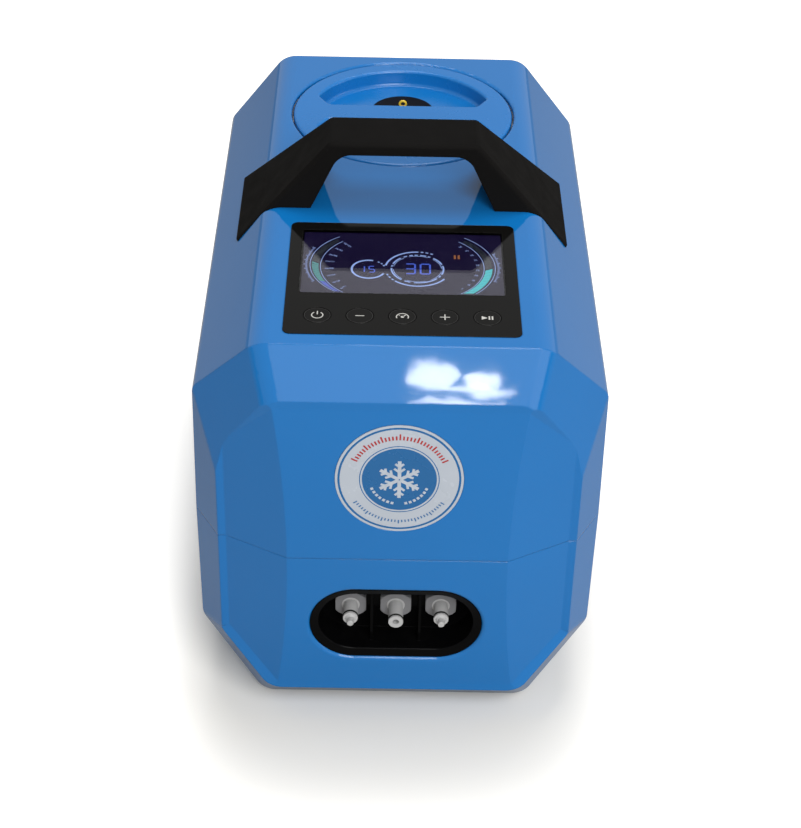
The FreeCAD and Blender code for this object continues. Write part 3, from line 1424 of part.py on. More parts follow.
def water_tank():
    outer = rounded_block(
        -TANK_HALF_WIDTH,
        TANK_HALF_WIDTH,
        TANK_FRONT,
        TANK_BACK,
        TANK_BOTTOM,
        TANK_TOP,
        TANK_CORNER_RADIUS,
    )
    inner = rounded_block(
        -TANK_HALF_WIDTH + TANK_WALL,
        TANK_HALF_WIDTH - TANK_WALL,
        TANK_FRONT + TANK_WALL,
        TANK_BACK - TANK_WALL,
        TANK_BOTTOM + TANK_WALL,
        TANK_TOP - TANK_WALL,
        TANK_CORNER_RADIUS - TANK_WALL,
    )
    neck = post(0, LID_Y, TANK_TOP - PAST, COLLAR_BOTTOM, NECK_OUTER)
    mouth = post(0, LID_Y, TANK_TOP - 5, COLLAR_BOTTOM + PAST, NECK_INNER)
    nipples, bores = [], []
    tip = TANK_FRONT - TANK_NIPPLE_LENGTH
    for x in (-HOSE_PASS_X, HOSE_PASS_X):
        nipples.append(rod(x, HOSE_PASS_Z, tip, TANK_FRONT + PAST, NIPPLE_RADIUS))
        bores.append(rod(x, HOSE_PASS_Z, tip - PAST, TANK_FRONT + 5, NIPPLE_BORE))
    return less(joined([outer, neck] + nipples), inner, mouth, *bores)


def tank_jacket():
    """The foam jacket around the tank's walls and floor."""
    outer = rounded_block(
        -TANK_HALF_WIDTH - JACKET_THICKNESS,
        TANK_HALF_WIDTH + JACKET_THICKNESS,
        JACKET_FRONT,
        TANK_BACK + JACKET_THICKNESS,
        JACKET_BOTTOM,
        TANK_TOP,
        TANK_CORNER_RADIUS + JACKET_THICKNESS,
    )
    inner = rounded_block(
        -TANK_HALF_WIDTH,
        TANK_HALF_WIDTH,
        TANK_FRONT,
        TANK_BACK,
        TANK_BOTTOM,
        TANK_TOP + PAST,
        TANK_CORNER_RADIUS,
    )
    holes = []
    for x in (-HOSE_PASS_X, HOSE_PASS_X):
        holes.append(rod(x, HOSE_PASS_Z, JACKET_FRONT - PAST, TANK_FRONT + PAST, NIPPLE_RADIUS))
    return less(outer, inner, *holes)


def tank_strainer():
    """A slotted cap over the outlet, inside the tank."""
    x, y0 = -HOSE_PASS_X, TANK_FRONT + TANK_WALL
    y1 = y0 + STRAINER_LENGTH
    cap = rod(x, HOSE_PASS_Z, y0, y1, STRAINER_RADIUS)
    hollow = STRAINER_RADIUS - STRAINER_WALL
    cuts = [rod(x, HOSE_PASS_Z, y0 - PAST, y1 - STRAINER_WALL, hollow)]
    half = STRAINER_RADIUS + PAST
    slot = y0 + STRAINER_SLOT_SET
    for i in range(STRAINER_SLOTS):
        z = HOSE_PASS_Z - STRAINER_SLOT_LOW + i * STRAINER_SLOT_PITCH
        top = z + STRAINER_SLOT_HEIGHT
        cuts.append(block(x - half, x + half, slot, slot + STRAINER_SLOT_LENGTH, z, top))
    return less(cap, *cuts)


def tank_frame():
    """The bent sheet under and in front of the tank, on its two side legs."""
    half = TANK_HALF_WIDTH - SHELF_SIDE_INSET
    shelf_back = HEATSINK_BACK + SHELF_OVERHANG
    shelf = block(-half, half, BULKHEAD_Y, shelf_back, SHELF_BOTTOM, JACKET_BOTTOM)
    leg_x = CHASSIS_HALF - SHELF_THICKNESS
    front_top = JACKET_BOTTOM + BULKHEAD_RISE
    front = block(-leg_x, leg_x, BULKHEAD_Y, JACKET_FRONT, CHASSIS_TOP, front_top)
    leg_back = HEATSINK_BACK - FRAME_LEG_SET
    leg = block(leg_x, CHASSIS_HALF, BULKHEAD_Y, leg_back, CHASSIS_TOP, JACKET_BOTTOM)
    places = [(x, HOSE_PASS_Z) for x in (-HOSE_PASS_X, HOSE_PASS_X)]
    places += [(FAN_OFFSET + x, BLOCK_NIPPLE_Z) for x in (-BLOCK_NIPPLE_X, BLOCK_NIPPLE_X)]
    holes = []
    for x, z in places:
        radius = HOSE_RADIUS + HOSE_HOLE_CLEARANCE
        holes.append(rod(x, z, BULKHEAD_Y - PAST, JACKET_FRONT + PAST, radius))
    return less(joined([shelf, front, leg, mirrored(leg)]), *holes)


# ---------------------------------------------------------------- coupling port
def port_dish():
    """The shallow dish of the port's lip, tilted with the crowned panel around it."""
    y = crown_y(PORT_Z) + PORT_SET
    slope = (PORT_RADIUS - PORT_TUNNEL_RADIUS) / PORT_DISH_DEPTH
    dish = Part.makeLoft(
        [
            stadium_wire(y - 1, PORT_RADIUS + slope),
            stadium_wire(y + PORT_DISH_DEPTH + PAST, PORT_TUNNEL_RADIUS - slope),
        ],
        True,
        True,
    )
    tilt = math.degrees(math.asin((SEAM - PORT_Z) / CROWN_RADIUS))
    dish.rotate(V(0, y, PORT_Z), V(1, 0, 0), tilt)
    return dish


def round_dish_edge(shell):
    """Round the edge where the dish turns into the tunnel."""
    reach = PORT_HALF_SPACING + PORT_TUNNEL_RADIUS + INTO
    low, high = PORT_Z - PORT_TUNNEL_RADIUS - INTO, PORT_Z + PORT_TUNNEL_RADIUS + INTO
    rims = []
    for edge in shell.Edges:
        box = edge.BoundBox
        inside = box.XMax < reach and -reach < box.XMin and low < box.ZMin and box.ZMax < high
        if inside and box.YMax < FRONT + WALL + PORT_SET + PORT_DISH_DEPTH:
            rims.append(edge)
    return shell.makeFillet(PORT_DISH_EDGE_RADIUS, rims)


def port_housing():
    """The dished lip, the tunnel behind it with its back wall, and two ribs on round bosses."""
    outer = stadium(FRONT - 5, WALL_BEHIND, PORT_RADIUS).common(case_solid(PORT_SET))
    tunnel = stadium(FRONT, PORT_WALL_Y, PORT_TUNNEL_RADIUS)
    flange_y = FRONT + WALL + PORT_FLANGE_SET
    flange_back = flange_y + PORT_FLANGE_THICKNESS
    flange = stadium(flange_y, flange_back, PORT_RADIUS + PORT_FLANGE_REACH).cut(
        stadium(flange_y - PAST, flange_back + PAST, PORT_RADIUS - INTO)
    )
    shell = round_dish_edge(less(outer, port_dish(), tunnel))
    low, high = PORT_Z - PORT_TUNNEL_RADIUS, PORT_Z + PORT_TUNNEL_RADIUS
    boss_front = FRONT + PORT_BOSS_SET
    bosses, ribs = [], []
    for x in (-RIB_X, RIB_X):
        for z in (low, high):
            bosses.append(rod(x, z, boss_front, PORT_WALL_Y + INTO, PORT_BOSS_RADIUS))
        ribs.append(
            block(
                x - PORT_RIB_THICKNESS / 2,
                x + PORT_RIB_THICKNESS / 2,
                boss_front + PORT_RIB_SET,
                PORT_WALL_Y + INTO,
                low - 2 * INTO,
                high + 2 * INTO,
            )
        )
    inside = stadium(FRONT, PORT_WALL_Y + PAST, PORT_TUNNEL_RADIUS + 2 * INTO)
    holes = []
    for x in COUPLING_XS.values():
        holes.append(rod(x, PORT_Z, PORT_WALL_Y - PAST, WALL_BEHIND + PAST, SHANK_RADIUS))
    inner_parts = Part.makeCompound(bosses + ribs).common(inside)
    return less(joined([shell, flange] + inner_parts.Solids), *holes)


def barrel_front(x):
    """Where a coupling's barrel ends; the air coupling in the middle reaches further."""
    return BARREL_FRONT - (AIR_COUPLING_ADVANCE if x == 0 else 0)


def coupling_body(x):
    """A coupling without its bore: barrel, shank, rear flange and hose barb."""
    barrel = rod(x, PORT_Z, barrel_front(x), NUT_FRONT + PAST, COUPLING_BARREL_RADIUS)
    shank = rod(x, PORT_Z, NUT_FRONT, SHANK_BACK, SHANK_RADIUS)
    flange_back = WALL_BEHIND + COUPLING_FLANGE_THICKNESS
    flange = rod(x, PORT_Z, WALL_BEHIND, flange_back, COUPLING_FLANGE_RADIUS)
    barb = rod(x, PORT_Z, SHANK_BACK - PAST, BARB_BACK, NIPPLE_RADIUS)
    return joined([barrel, shank, flange, barb])


def seal_groove(x):
    y = barrel_front(x) + SEAL_SET
    floor = COUPLING_BARREL_RADIUS - SEAL_DEPTH
    return pipe_y(x, PORT_Z, y, y + SEAL_WIDTH, COUPLING_BARREL_RADIUS + PAST, floor)


def water_coupling(x):
    nose = Part.makeCone(
        NOSE_ROOT_RADIUS,
        POPPET_RADIUS + NOSE_LIP,
        NOSE_REACH,
        V(x, BARREL_FRONT, PORT_Z),
        V(0, -1, 0),
    )
    body = joined([coupling_body(x), nose])
    guide = rod(x, PORT_Z, BARREL_FRONT - 2, POPPET_SEAT + PAST, POPPET_RADIUS + POPPET_GAP)
    chamber_back = SHANK_BACK - POPPET_CHAMBER_END
    chamber = rod(x, PORT_Z, POPPET_SEAT, chamber_back, POPPET_CHAMBER_RADIUS)
    outlet = rod(x, PORT_Z, chamber_back - PAST, BARB_BACK + PAST, NIPPLE_BORE)
    return less(body, guide, chamber, outlet, seal_groove(x))


def air_coupling():
    through = rod(0, PORT_Z, barrel_front(0) - 1, BARB_BACK + PAST, AIR_BORE_RADIUS)
    return less(coupling_body(0), through, seal_groove(0))


def valve_poppet(x):
    """The valve pin that the mating plug pushes back."""
    stem = rod(x, PORT_Z, BARREL_FRONT - POPPET_REACH, POPPET_SEAT + PAST, POPPET_RADIUS)
    tip = [e for e in stem.Edges if e.BoundBox.YMax < BARREL_FRONT - POPPET_REACH + 0.01]
    stem = stem.makeFillet(POPPET_TIP_RADIUS, tip)
    head_y = POPPET_SEAT + POPPET_SEAT_GAP
    head_radius = POPPET_CHAMBER_RADIUS - POPPET_HEAD_GAP
    head = rod(x, PORT_Z, head_y, head_y + POPPET_HEAD, head_radius)
    return joined([stem, head])


def coupling_nuts():
    """The hexagon nuts that clamp the couplings to the port's back wall."""
    nuts = []
    across_corners = NUT_ACROSS_FLATS / math.cos(math.pi / 6)
    for x in COUPLING_XS.values():
        corners = []
        for i in range(6):
            angle = math.radians(90 + 60 * i)
            dx = across_corners / 2 * math.cos(angle)
            dz = across_corners / 2 * math.sin(angle)
            corners.append(V(x + dx, NUT_FRONT, PORT_Z + dz))
        nut = face_of(corners).extrude(V(0, NUT_THICKNESS, 0))
        cone = Part.makeCone(
            across_corners / 2 - NUT_CHAMFER,
            across_corners / 2 - NUT_CHAMFER + NUT_THICKNESS,
            NUT_THICKNESS,
            V(x, NUT_FRONT, PORT_Z),
            V(0, 1, 0),
        )
        nut = nut.common(cone)
        nuts.append(nut.cut(rod(x, PORT_Z, NUT_FRONT - PAST, PORT_WALL_Y + PAST, SHANK_RADIUS)))
    return Part.makeCompound(nuts)


def coupling_seals():
    seals = []
    for x in COUPLING_XS.values():
        y = barrel_front(x) + SEAL_SET
        inner = COUPLING_BARREL_RADIUS - SEAL_DEPTH
        seal = pipe_y(x, PORT_Z, y, y + SEAL_WIDTH, COUPLING_BARREL_RADIUS + SEAL_PROUD, inner)
        rims = []
        for edge in seal.Edges:
            if edge.BoundBox.XLength > 2 * inner + 1 and edge.BoundBox.YLength < 0.01:
                rims.append(edge)
        seals.append(seal.makeFillet(SEAL_EDGE_RADIUS, rims))
    return Part.makeCompound(seals)


def badge_solid(radius, under, over):
    """A round plate that follows the crowned panel, from under its surface to over it."""
    disc = rod(0, TOP - BADGE_DROP, FRONT - 5, FRONT + 10, radius)
    centre = FRONT + CROWN_RADIUS
    half = CASE_HALF_WIDTH
    shells = []
    for size in (CROWN_RADIUS + over, CROWN_RADIUS - under):
        shells.append(Part.makeCylinder(size, 2 * half, V(-half, centre, SEAM), V(1, 0, 0)))
    return disc.common(shells[0]).cut(shells[1])


def badge_disc():
    return badge_solid(BADGE_RADIUS, BADGE_UNDER, BADGE_PROUD)


# ---------------------------------------------------------------- thermal unit
def peltier_modules():
    size, half_gap = MODULE_SIZE, MODULE_SPACING / 2
    y = COLD_BLOCK_FRONT + MODULE_SET
    modules = []
    for x in (FAN_OFFSET - size - half_gap, FAN_OFFSET + half_gap):
        modules.append(block(x, x + size, y, y + size, HEATSINK_TOP, COLD_BLOCK_BOTTOM))
    return Part.makeCompound(modules)


def cold_block():
    """The water block on the modules' cold side, with its channels' end caps outside."""
    plate = block(
        FAN_OFFSET - COLD_BLOCK_HALF,
        FAN_OFFSET + COLD_BLOCK_HALF,
        COLD_BLOCK_FRONT,
        COLD_BLOCK_FRONT + COLD_BLOCK_LENGTH,
        COLD_BLOCK_BOTTOM,
        COLD_BLOCK_TOP,
    )
    pieces, cuts = [plate], []
    tip = COLD_BLOCK_FRONT - BLOCK_NIPPLE_LENGTH
    channel_end = COLD_BLOCK_FRONT + BLOCK_CHANNEL_LENGTH
    for x in (FAN_OFFSET - BLOCK_NIPPLE_X, FAN_OFFSET + BLOCK_NIPPLE_X):
        pieces.append(rod(x, BLOCK_NIPPLE_Z, tip, COLD_BLOCK_FRONT + PAST, NIPPLE_RADIUS))
        cuts.append(rod(x, BLOCK_NIPPLE_Z, tip - PAST, channel_end, NIPPLE_BORE))
    return less(joined(pieces), *cuts)


def heatsink():
    x0, x1 = FAN_OFFSET - FAN_SIZE / 2, FAN_OFFSET + FAN_SIZE / 2
    base_bottom = HEATSINK_TOP - HEATSINK_BASE
    pieces = [block(x0, x1, HEATSINK_FRONT, HEATSINK_BACK, base_bottom, HEATSINK_TOP)]
    fin_top = base_bottom + INTO
    pitch = (FAN_SIZE - FIN_THICKNESS) / (HEATSINK_FINS - 1)
    for i in range(HEATSINK_FINS):
        x = x0 + i * pitch
        fin = block(x, x + FIN_THICKNESS, HEATSINK_FRONT, HEATSINK_BACK, CHASSIS_TOP, fin_top)
        pieces.append(fin)
    return joined(pieces)


def fan_frame():
    x0, x1 = FAN_OFFSET - FAN_SIZE / 2, FAN_OFFSET + FAN_SIZE / 2
    square = [
        V(x0, FAN_FRONT, FAN_Z - FAN_SIZE / 2),
        V(x1, FAN_FRONT, FAN_Z - FAN_SIZE / 2),
        V(x1, FAN_FRONT, FAN_Z + FAN_SIZE / 2),
        V(x0, FAN_FRONT, FAN_Z + FAN_SIZE / 2),
    ]
    frame = rounded_prism(square, [FAN_CORNER_RADIUS] * 4, V(0, FAN_DEPTH, 0))
    opening = FAN_ROTOR_RADIUS + FAN_TIP_GAP
    frame = frame.cut(rod(FAN_OFFSET, FAN_Z, FAN_FRONT - PAST, FAN_BACK + PAST, opening))
    hub = rod(FAN_OFFSET, FAN_Z, FAN_FRONT, FAN_FRONT + FAN_HUB_THICKNESS, FAN_HUB_RADIUS)
    strut_back = FAN_FRONT + FAN_STRUT_DEPTH
    struts = []
    for i in range(FAN_STRUTS):
        strut = block(
            FAN_OFFSET + FAN_HUB_RADIUS - PAST,
            FAN_OFFSET + FAN_ROTOR_RADIUS + 2,
            FAN_FRONT,
            strut_back,
            FAN_Z - FAN_STRUT_WIDTH / 2,
            FAN_Z + FAN_STRUT_WIDTH / 2,
        )
        strut.rotate(V(FAN_OFFSET, 0, FAN_Z), V(0, 1, 0), (i + 0.5) * 360 / FAN_STRUTS)
        struts.append(strut)
    axle = rod(FAN_OFFSET, FAN_Z, strut_back, FAN_FRONT + FAN_AXLE_END, FAN_AXLE_RADIUS)
    frame = joined([frame, hub, axle] + struts)
    return less(frame, *fan_screw_holes(FAN_FRONT - PAST, FAN_BACK + PAST))


def fan_screw_places():
    offset = FAN_HOLE_SPACING / 2
    for dx in (-offset, offset):
        for dz in (-offset, offset):
            yield FAN_OFFSET + dx, FAN_Z + dz


def fan_screw_holes(y0, y1):
    return [rod(x, z, y0, y1, SCREW_RADIUS) for x, z in fan_screw_places()]


def fan_rotor():
    """The hub and its pitched blades, turning on the frame's axle."""
    y0 = FAN_FRONT + FAN_HUB_THICKNESS + FAN_HUB_GAP
    depth = FAN_BLADE_DEPTH
    half = FAN_BLADE_THICKNESS / 2
    tip = FAN_ROTOR_RADIUS - FAN_BLADE_TIP_GAP
    hub = rod(FAN_OFFSET, FAN_Z, y0, y0 + depth, FAN_HUB_RADIUS)
    blades = []
    for i in range(FAN_BLADES):
        blade = block(FAN_HUB_RADIUS - 2, tip, y0 + 1, y0 + depth - 1, -half, half)
        blade.rotate(V(0, y0 + depth / 2, 0), V(1, 0, 0), FAN_BLADE_PITCH)
        blade.rotate(V(0, 0, 0), V(0, 1, 0), i * 360 / FAN_BLADES)
        blade.translate(V(FAN_OFFSET, 0, FAN_Z))
        blades.append(blade)
    rotor = joined([hub] + blades)
    disc = rod(FAN_OFFSET, FAN_Z, y0, y0 + depth, FAN_ROTOR_RADIUS)
    bore_end = FAN_FRONT + FAN_AXLE_END + FAN_HUB_GAP
    bore = rod(FAN_OFFSET, FAN_Z, y0 - PAST, bore_end, FAN_AXLE_RADIUS + FAN_BORE_GAP)
    return rotor.common(disc).cut(bore)


def rear_grille():
    """The slotted panel in the back wall, with a pillar behind each fan screw."""
    x0, x1 = FAN_OFFSET - GRILLE_HALF, FAN_OFFSET + GRILLE_HALF
    plate = block(x0, x1, INNER_BACK, BACK - GRILLE_SET, GRILLE_BOTTOM, GRILLE_TOP)
    pillars = []
    for x, z in fan_screw_places():
        pillars.append(rod(x, z, FAN_BACK, INNER_BACK + INTO, GRILLE_PILLAR_RADIUS))
    panel = joined([plate] + pillars)
    pitch = (GRILLE_TOP - GRILLE_BOTTOM - 2 * GRILLE_SLOT_MARGIN) / GRILLE_SLOTS
    half = GRILLE_SLOT_HEIGHT / 2
    x_in, x_out = GRILLE_SPINE_WIDTH / 2, GRILLE_HALF - GRILLE_SLOT_END
    cuts = []
    for i in range(GRILLE_SLOTS):
        z = GRILLE_BOTTOM + GRILLE_SLOT_MARGIN + (i + 0.5) * pitch
        for low, high in ((-x_out, -x_in), (x_in, x_out)):
            x0, x1 = FAN_OFFSET + low, FAN_OFFSET + high
            cuts.append(block(x0, x1, INNER_BACK - PAST, BACK, z - half, z + half))
    cuts += fan_screw_holes(FAN_BACK - PAST, INNER_BACK + PAST)
    return less(panel, *cuts)


def internal_screws():
    """The screws that hold the chassis plate and the fan."""
    screws = []
    for y in STANDOFF_YS:
        for x in (-STANDOFF_X, STANDOFF_X):
            head = post(x, y, CHASSIS_TOP, CHASSIS_TOP + SCREW_HEAD_HEIGHT, SCREW_HEAD_RADIUS)
            shaft = post(x, y, FLOOR + CHASSIS_SCREW_END, CHASSIS_TOP + INTO, SCREW_RADIUS)
            screws.append(joined([head, shaft]))
    for x, z in fan_screw_places():
        head_front = FAN_FRONT - FAN_SCREW_HEAD_HEIGHT
        head = rod(x, z, head_front, FAN_FRONT, FAN_SCREW_HEAD_RADIUS)
        shaft = rod(x, z, FAN_FRONT - INTO, FAN_BACK + FAN_SCREW_GRIP, SCREW_RADIUS)
        screws.append(joined([head, shaft]))
    return Part.makeCompound(screws)


# ---------------------------------------------------------------- chassis, pumps, electronics
def chassis_plate():
    plate = rounded_block(
        -CHASSIS_HALF,
        CHASSIS_HALF,
        CHASSIS_FRONT,
        CHASSIS_BACK,
        CHASSIS_BOTTOM,
        CHASSIS_TOP,
        CHASSIS_CORNER_RADIUS,
    )
    holes = []
    for y in STANDOFF_YS:
        for x in (-STANDOFF_X, STANDOFF_X):
            holes.append(post(x, y, CHASSIS_BOTTOM - PAST, CHASSIS_TOP + PAST, SCREW_RADIUS))
    holes += floor_slots(CHASSIS_SLOT_HALF, CHASSIS_BOTTOM, CHASSIS_TOP)
    return less(plate, *holes)


def pump_motor():
    can = post(PUMP_X, PUMP_Y, CHASSIS_TOP, PUMP_MOTOR_TOP, PUMP_MOTOR_RADIUS)
    foot_top = CHASSIS_TOP + PUMP_FOOT_THICKNESS
    foot = post(PUMP_X, PUMP_Y, CHASSIS_TOP, foot_top, PUMP_FOOT_RADIUS)
    return joined([can, foot])


def pump_volute():
    body = post(PUMP_X, PUMP_Y, PUMP_MOTOR_TOP, VOLUTE_TOP, VOLUTE_RADIUS)
    inlet = post(PUMP_X, PUMP_Y, VOLUTE_TOP - PAST, VOLUTE_INLET_TOP, NIPPLE_RADIUS)
    outlet = rod(VOLUTE_OUTLET_X, VOLUTE_OUTLET_Z, PUMP_Y, VOLUTE_OUTLET_Y, NIPPLE_RADIUS)
    chamber_radius = IMPELLER_RADIUS + VOLUTE_GAP
    chamber = post(PUMP_X, PUMP_Y, VOLUTE_FLOOR, VOLUTE_TOP - VOLUTE_WALL, chamber_radius)
    inlet_bore = post(PUMP_X, PUMP_Y, VOLUTE_TOP - 4, VOLUTE_INLET_TOP + PAST, NIPPLE_BORE)
    outlet_end = VOLUTE_OUTLET_Y + PAST
    outlet_bore = rod(VOLUTE_OUTLET_X, VOLUTE_OUTLET_Z, PUMP_Y, outlet_end, NIPPLE_BORE)
    shell = less(joined([body, inlet, outlet]), chamber, inlet_bore, outlet_bore)
    spindle_top = VOLUTE_TOP - SPINDLE_TOP_SET
    spindle = post(PUMP_X, PUMP_Y, VOLUTE_FLOOR - INTO, spindle_top, SPINDLE_RADIUS)
    return joined([shell, spindle])


def pump_impeller():
    z0 = VOLUTE_FLOOR + IMPELLER_LIFT
    disc = post(PUMP_X, PUMP_Y, z0, z0 + IMPELLER_DISC, IMPELLER_RADIUS)
    hub_top = z0 + IMPELLER_HUB_HEIGHT
    hub = post(PUMP_X, PUMP_Y, z0, hub_top, IMPELLER_HUB_RADIUS)
    vanes = []
    for i in range(IMPELLER_VANES):
        vane = block(
            PUMP_X + IMPELLER_VANE_ROOT,
            PUMP_X + IMPELLER_RADIUS - IMPELLER_TIP_GAP,
            PUMP_Y - IMPELLER_VANE_THICKNESS / 2,
            PUMP_Y + IMPELLER_VANE_THICKNESS / 2,
            z0 + 2,
            z0 + IMPELLER_VANE_TOP,
        )
        vane.rotate(V(PUMP_X, PUMP_Y, 0), V(0, 0, 1), i * 360 / IMPELLER_VANES)
        vanes.append(vane)
    bore = post(PUMP_X, PUMP_Y, z0 - PAST, hub_top + PAST, SPINDLE_RADIUS + SPINDLE_GAP)
    return joined([disc, hub] + vanes).cut(bore)


def air_pump():
    """A diaphragm pump: square head in front, motor can behind, on a foot."""
    head_back = AIR_PUMP_FRONT + AIR_HEAD_LENGTH
    head = rounded_block(
        AIR_PUMP_X - AIR_HEAD_HALF,
        AIR_PUMP_X + AIR_HEAD_HALF,
        AIR_PUMP_FRONT,
        head_back,
        AIR_HEAD_BOTTOM,
        AIR_PUMP_TOP,
        AIR_HEAD_CORNER_RADIUS,
    )
    mid_z = (AIR_HEAD_BOTTOM + AIR_PUMP_TOP) / 2
    can_back = AIR_PUMP_FRONT + AIR_MOTOR_END
    can = rod(AIR_PUMP_X, mid_z, head_back - PAST, can_back, AIR_MOTOR_RADIUS)
    foot = block(
        AIR_PUMP_X - AIR_FOOT_HALF,
        AIR_PUMP_X + AIR_FOOT_HALF,
        AIR_PUMP_FRONT + AIR_FOOT_SPAN[0],
        AIR_PUMP_FRONT + AIR_FOOT_SPAN[1],
        CHASSIS_TOP,
        CHASSIS_TOP + AIR_FOOT_THICKNESS,
    )
    column = block(
        AIR_PUMP_X - AIR_COLUMN_HALF,
        AIR_PUMP_X + AIR_COLUMN_HALF,
        AIR_PUMP_FRONT + AIR_COLUMN_SPAN[0],
        AIR_PUMP_FRONT + AIR_COLUMN_SPAN[1],
        CHASSIS_TOP + AIR_FOOT_THICKNESS - PAST,
        mid_z - AIR_COLUMN_SET,
    )
    tip = AIR_PUMP_TOP + AIR_NIPPLE_LENGTH
    nipple = post(AIR_NIPPLE_X, AIR_NIPPLE_Y, AIR_PUMP_TOP - PAST, tip, NIPPLE_RADIUS)
    bore = post(AIR_NIPPLE_X, AIR_NIPPLE_Y, AIR_PUMP_TOP - 5, tip + PAST, NIPPLE_BORE)
    return less(joined([head, can, foot, column, nipple]), bore)


def air_valve():
    """The release solenoid on the air pump's head."""
    x0, x1 = AIR_PUMP_X + VALVE_BASE_SPAN[0], AIR_PUMP_X + VALVE_BASE_SPAN[1]
    y0 = AIR_PUMP_FRONT + VALVE_BASE_MARGIN
    y1 = AIR_PUMP_FRONT + AIR_HEAD_LENGTH - VALVE_BASE_MARGIN
    base_top = AIR_PUMP_TOP + VALVE_BASE_THICKNESS
    base = block(x0, x1, y0, y1, AIR_PUMP_TOP, base_top)
    coil = post((x0 + x1) / 2, (y0 + y1) / 2, base_top - INTO, VALVE_TOP, VALVE_COIL_RADIUS)
    return joined([base, coil])


def power_supply():
    """The metal-cased supply across the middle of the chassis."""
    half = SUPPLY_HALF_WIDTH
    case = block(-half, half, PSU_FRONT, PSU_BACK, CHASSIS_TOP, PSU_TOP)
    y0, y1 = PSU_FRONT + SUPPLY_SLOT_MARGIN, PSU_BACK - SUPPLY_SLOT_MARGIN
    z0, z1 = PSU_TOP - SUPPLY_SLOT_DEPTH, PSU_TOP + PAST
    slots = []
    for i in range(SUPPLY_SLOTS):
        x = -SUPPLY_SLOT_START + i * SUPPLY_SLOT_PITCH
        slots.append(block(x, x + SUPPLY_SLOT_WIDTH, y0, y1, z0, z1))
    return less(case, *slots)


def control_board():
    """The main board on four spacers in front of the tank frame, with its parts."""
    back = BULKHEAD_Y - CONTROL_STANDOFF
    front = back - BOARD_THICKNESS
    pieces = [block(-CONTROL_HALF, CONTROL_HALF, front, back, CONTROL_BOTTOM, CONTROL_TOP)]
    inset = CONTROL_SPACER_INSET
    for x in (-CONTROL_HALF + inset, CONTROL_HALF - inset):
        for z in (CONTROL_BOTTOM + inset, CONTROL_TOP - inset):
            pieces.append(rod(x, z, back - INTO, BULKHEAD_Y, CONTROL_SPACER_RADIUS))
    face = front + INTO
    for x, rise, width, height, depth in CONTROL_PARTS:
        z = CONTROL_BOTTOM + rise
        pieces.append(block(x, x + width, face - depth, face, z, z + height))
    return joined(pieces)


def power_inlet():
    """The mains inlet with the opening of its rocker switch above, in one moulding."""
    x0, x1 = INLET_X - INLET_HALF_WIDTH, INLET_X + INLET_HALF_WIDTH
    body = block(x0, x1, INNER_BACK - INLET_DEPTH, BACK, INLET_BODY_BOTTOM, INLET_BODY_TOP)
    left, right, outside = x0 + SOCKET_MARGIN, x1 - SOCKET_MARGIN, BACK + PAST
    low, high = INLET_Z - SOCKET_HALF_HEIGHT, INLET_Z + SOCKET_HALF_HEIGHT
    socket = rounded_prism(
        [
            V(left, outside, low),
            V(right, outside, low),
            V(right, outside, high),
            V(left, outside, high),
        ],
        [SOCKET_LOW_RADIUS, SOCKET_LOW_RADIUS, SOCKET_HIGH_RADIUS, SOCKET_HIGH_RADIUS],
        V(0, -SOCKET_DEPTH - PAST, 0),
    )
    switch_hole = block(
        INLET_X - ROCKER_HALF - ROCKER_GAP,
        INLET_X + ROCKER_HALF + ROCKER_GAP,
        BACK - ROCKER_WELL_DEPTH,
        BACK + PAST,
        ROCKER_Z - ROCKER_REACH,
        ROCKER_Z + ROCKER_REACH,
    )
    body = less(body, socket, switch_hole)
    y0, y1 = BACK - SOCKET_DEPTH - INTO, BACK - CONTACT_SET
    half, tall = CONTACT_HALF_WIDTH, CONTACT_HALF_HEIGHT
    blades = []
    for side in (-1, 0, 1):
        x = INLET_X + side * CONTACT_SPACING
        z = INLET_Z + CONTACT_RISE * (-1 if side else 1)
        blades.append(block(x - half, x + half, y0, y1, z - tall, z + tall))
    pin_half = ROCKER_HALF + ROCKER_PIN_SEAT
    pin_start = V(INLET_X - pin_half, ROCKER_AXIS_Y, ROCKER_Z)
    pin = Part.makeCylinder(ROCKER_PIN_RADIUS, 2 * pin_half, pin_start, V(1, 0, 0))
    return joined([body, pin] + blades)


def power_rocker():
    """The rocker, resting tilted to its lower side."""
    axis_y = ROCKER_AXIS_Y
    x0 = INLET_X - ROCKER_HALF
    inner_y, outer_y = axis_y - ROCKER_BACK, axis_y + ROCKER_FACE
    profile = [
        V(x0, inner_y, ROCKER_Z - ROCKER_BACK_HALF),
        V(x0, outer_y, ROCKER_Z - ROCKER_FACE_HALF),
        V(x0, outer_y - ROCKER_DIP, ROCKER_Z),
        V(x0, outer_y, ROCKER_Z + ROCKER_FACE_HALF),
        V(x0, inner_y, ROCKER_Z + ROCKER_BACK_HALF),
    ]
    rocker = face_of(profile).extrude(V(2 * ROCKER_HALF, 0, 0))
    bore = Part.makeCylinder(
        ROCKER_PIN_RADIUS + ROCKER_PIN_GAP,
        2 * (ROCKER_HALF + PAST),
        V(x0 - PAST, axis_y, ROCKER_Z),
        V(1, 0, 0),
    )
    rocker = rocker.cut(bore)
    rocker.rotate(V(0, axis_y, ROCKER_Z), V(1, 0, 0), -ROCKER_TILT)
    return rocker


# ---------------------------------------------------------------- hoses
def pump_hose():
    """From the tank's outlet to the pump's inlet."""
    start_y = JACKET_FRONT - 2
    over = VOLUTE_INLET_TOP + 16
    return tube(
        [
            V(-HOSE_PASS_X, start_y, HOSE_PASS_Z),
            V(-HOSE_PASS_X, start_y - 34, HOSE_PASS_Z),
            V(PUMP_X, PUMP_Y, over),
            V(PUMP_X, PUMP_Y, VOLUTE_TOP + PAST),
        ],
        HOSE_RADIUS,
        NIPPLE_RADIUS,
    )


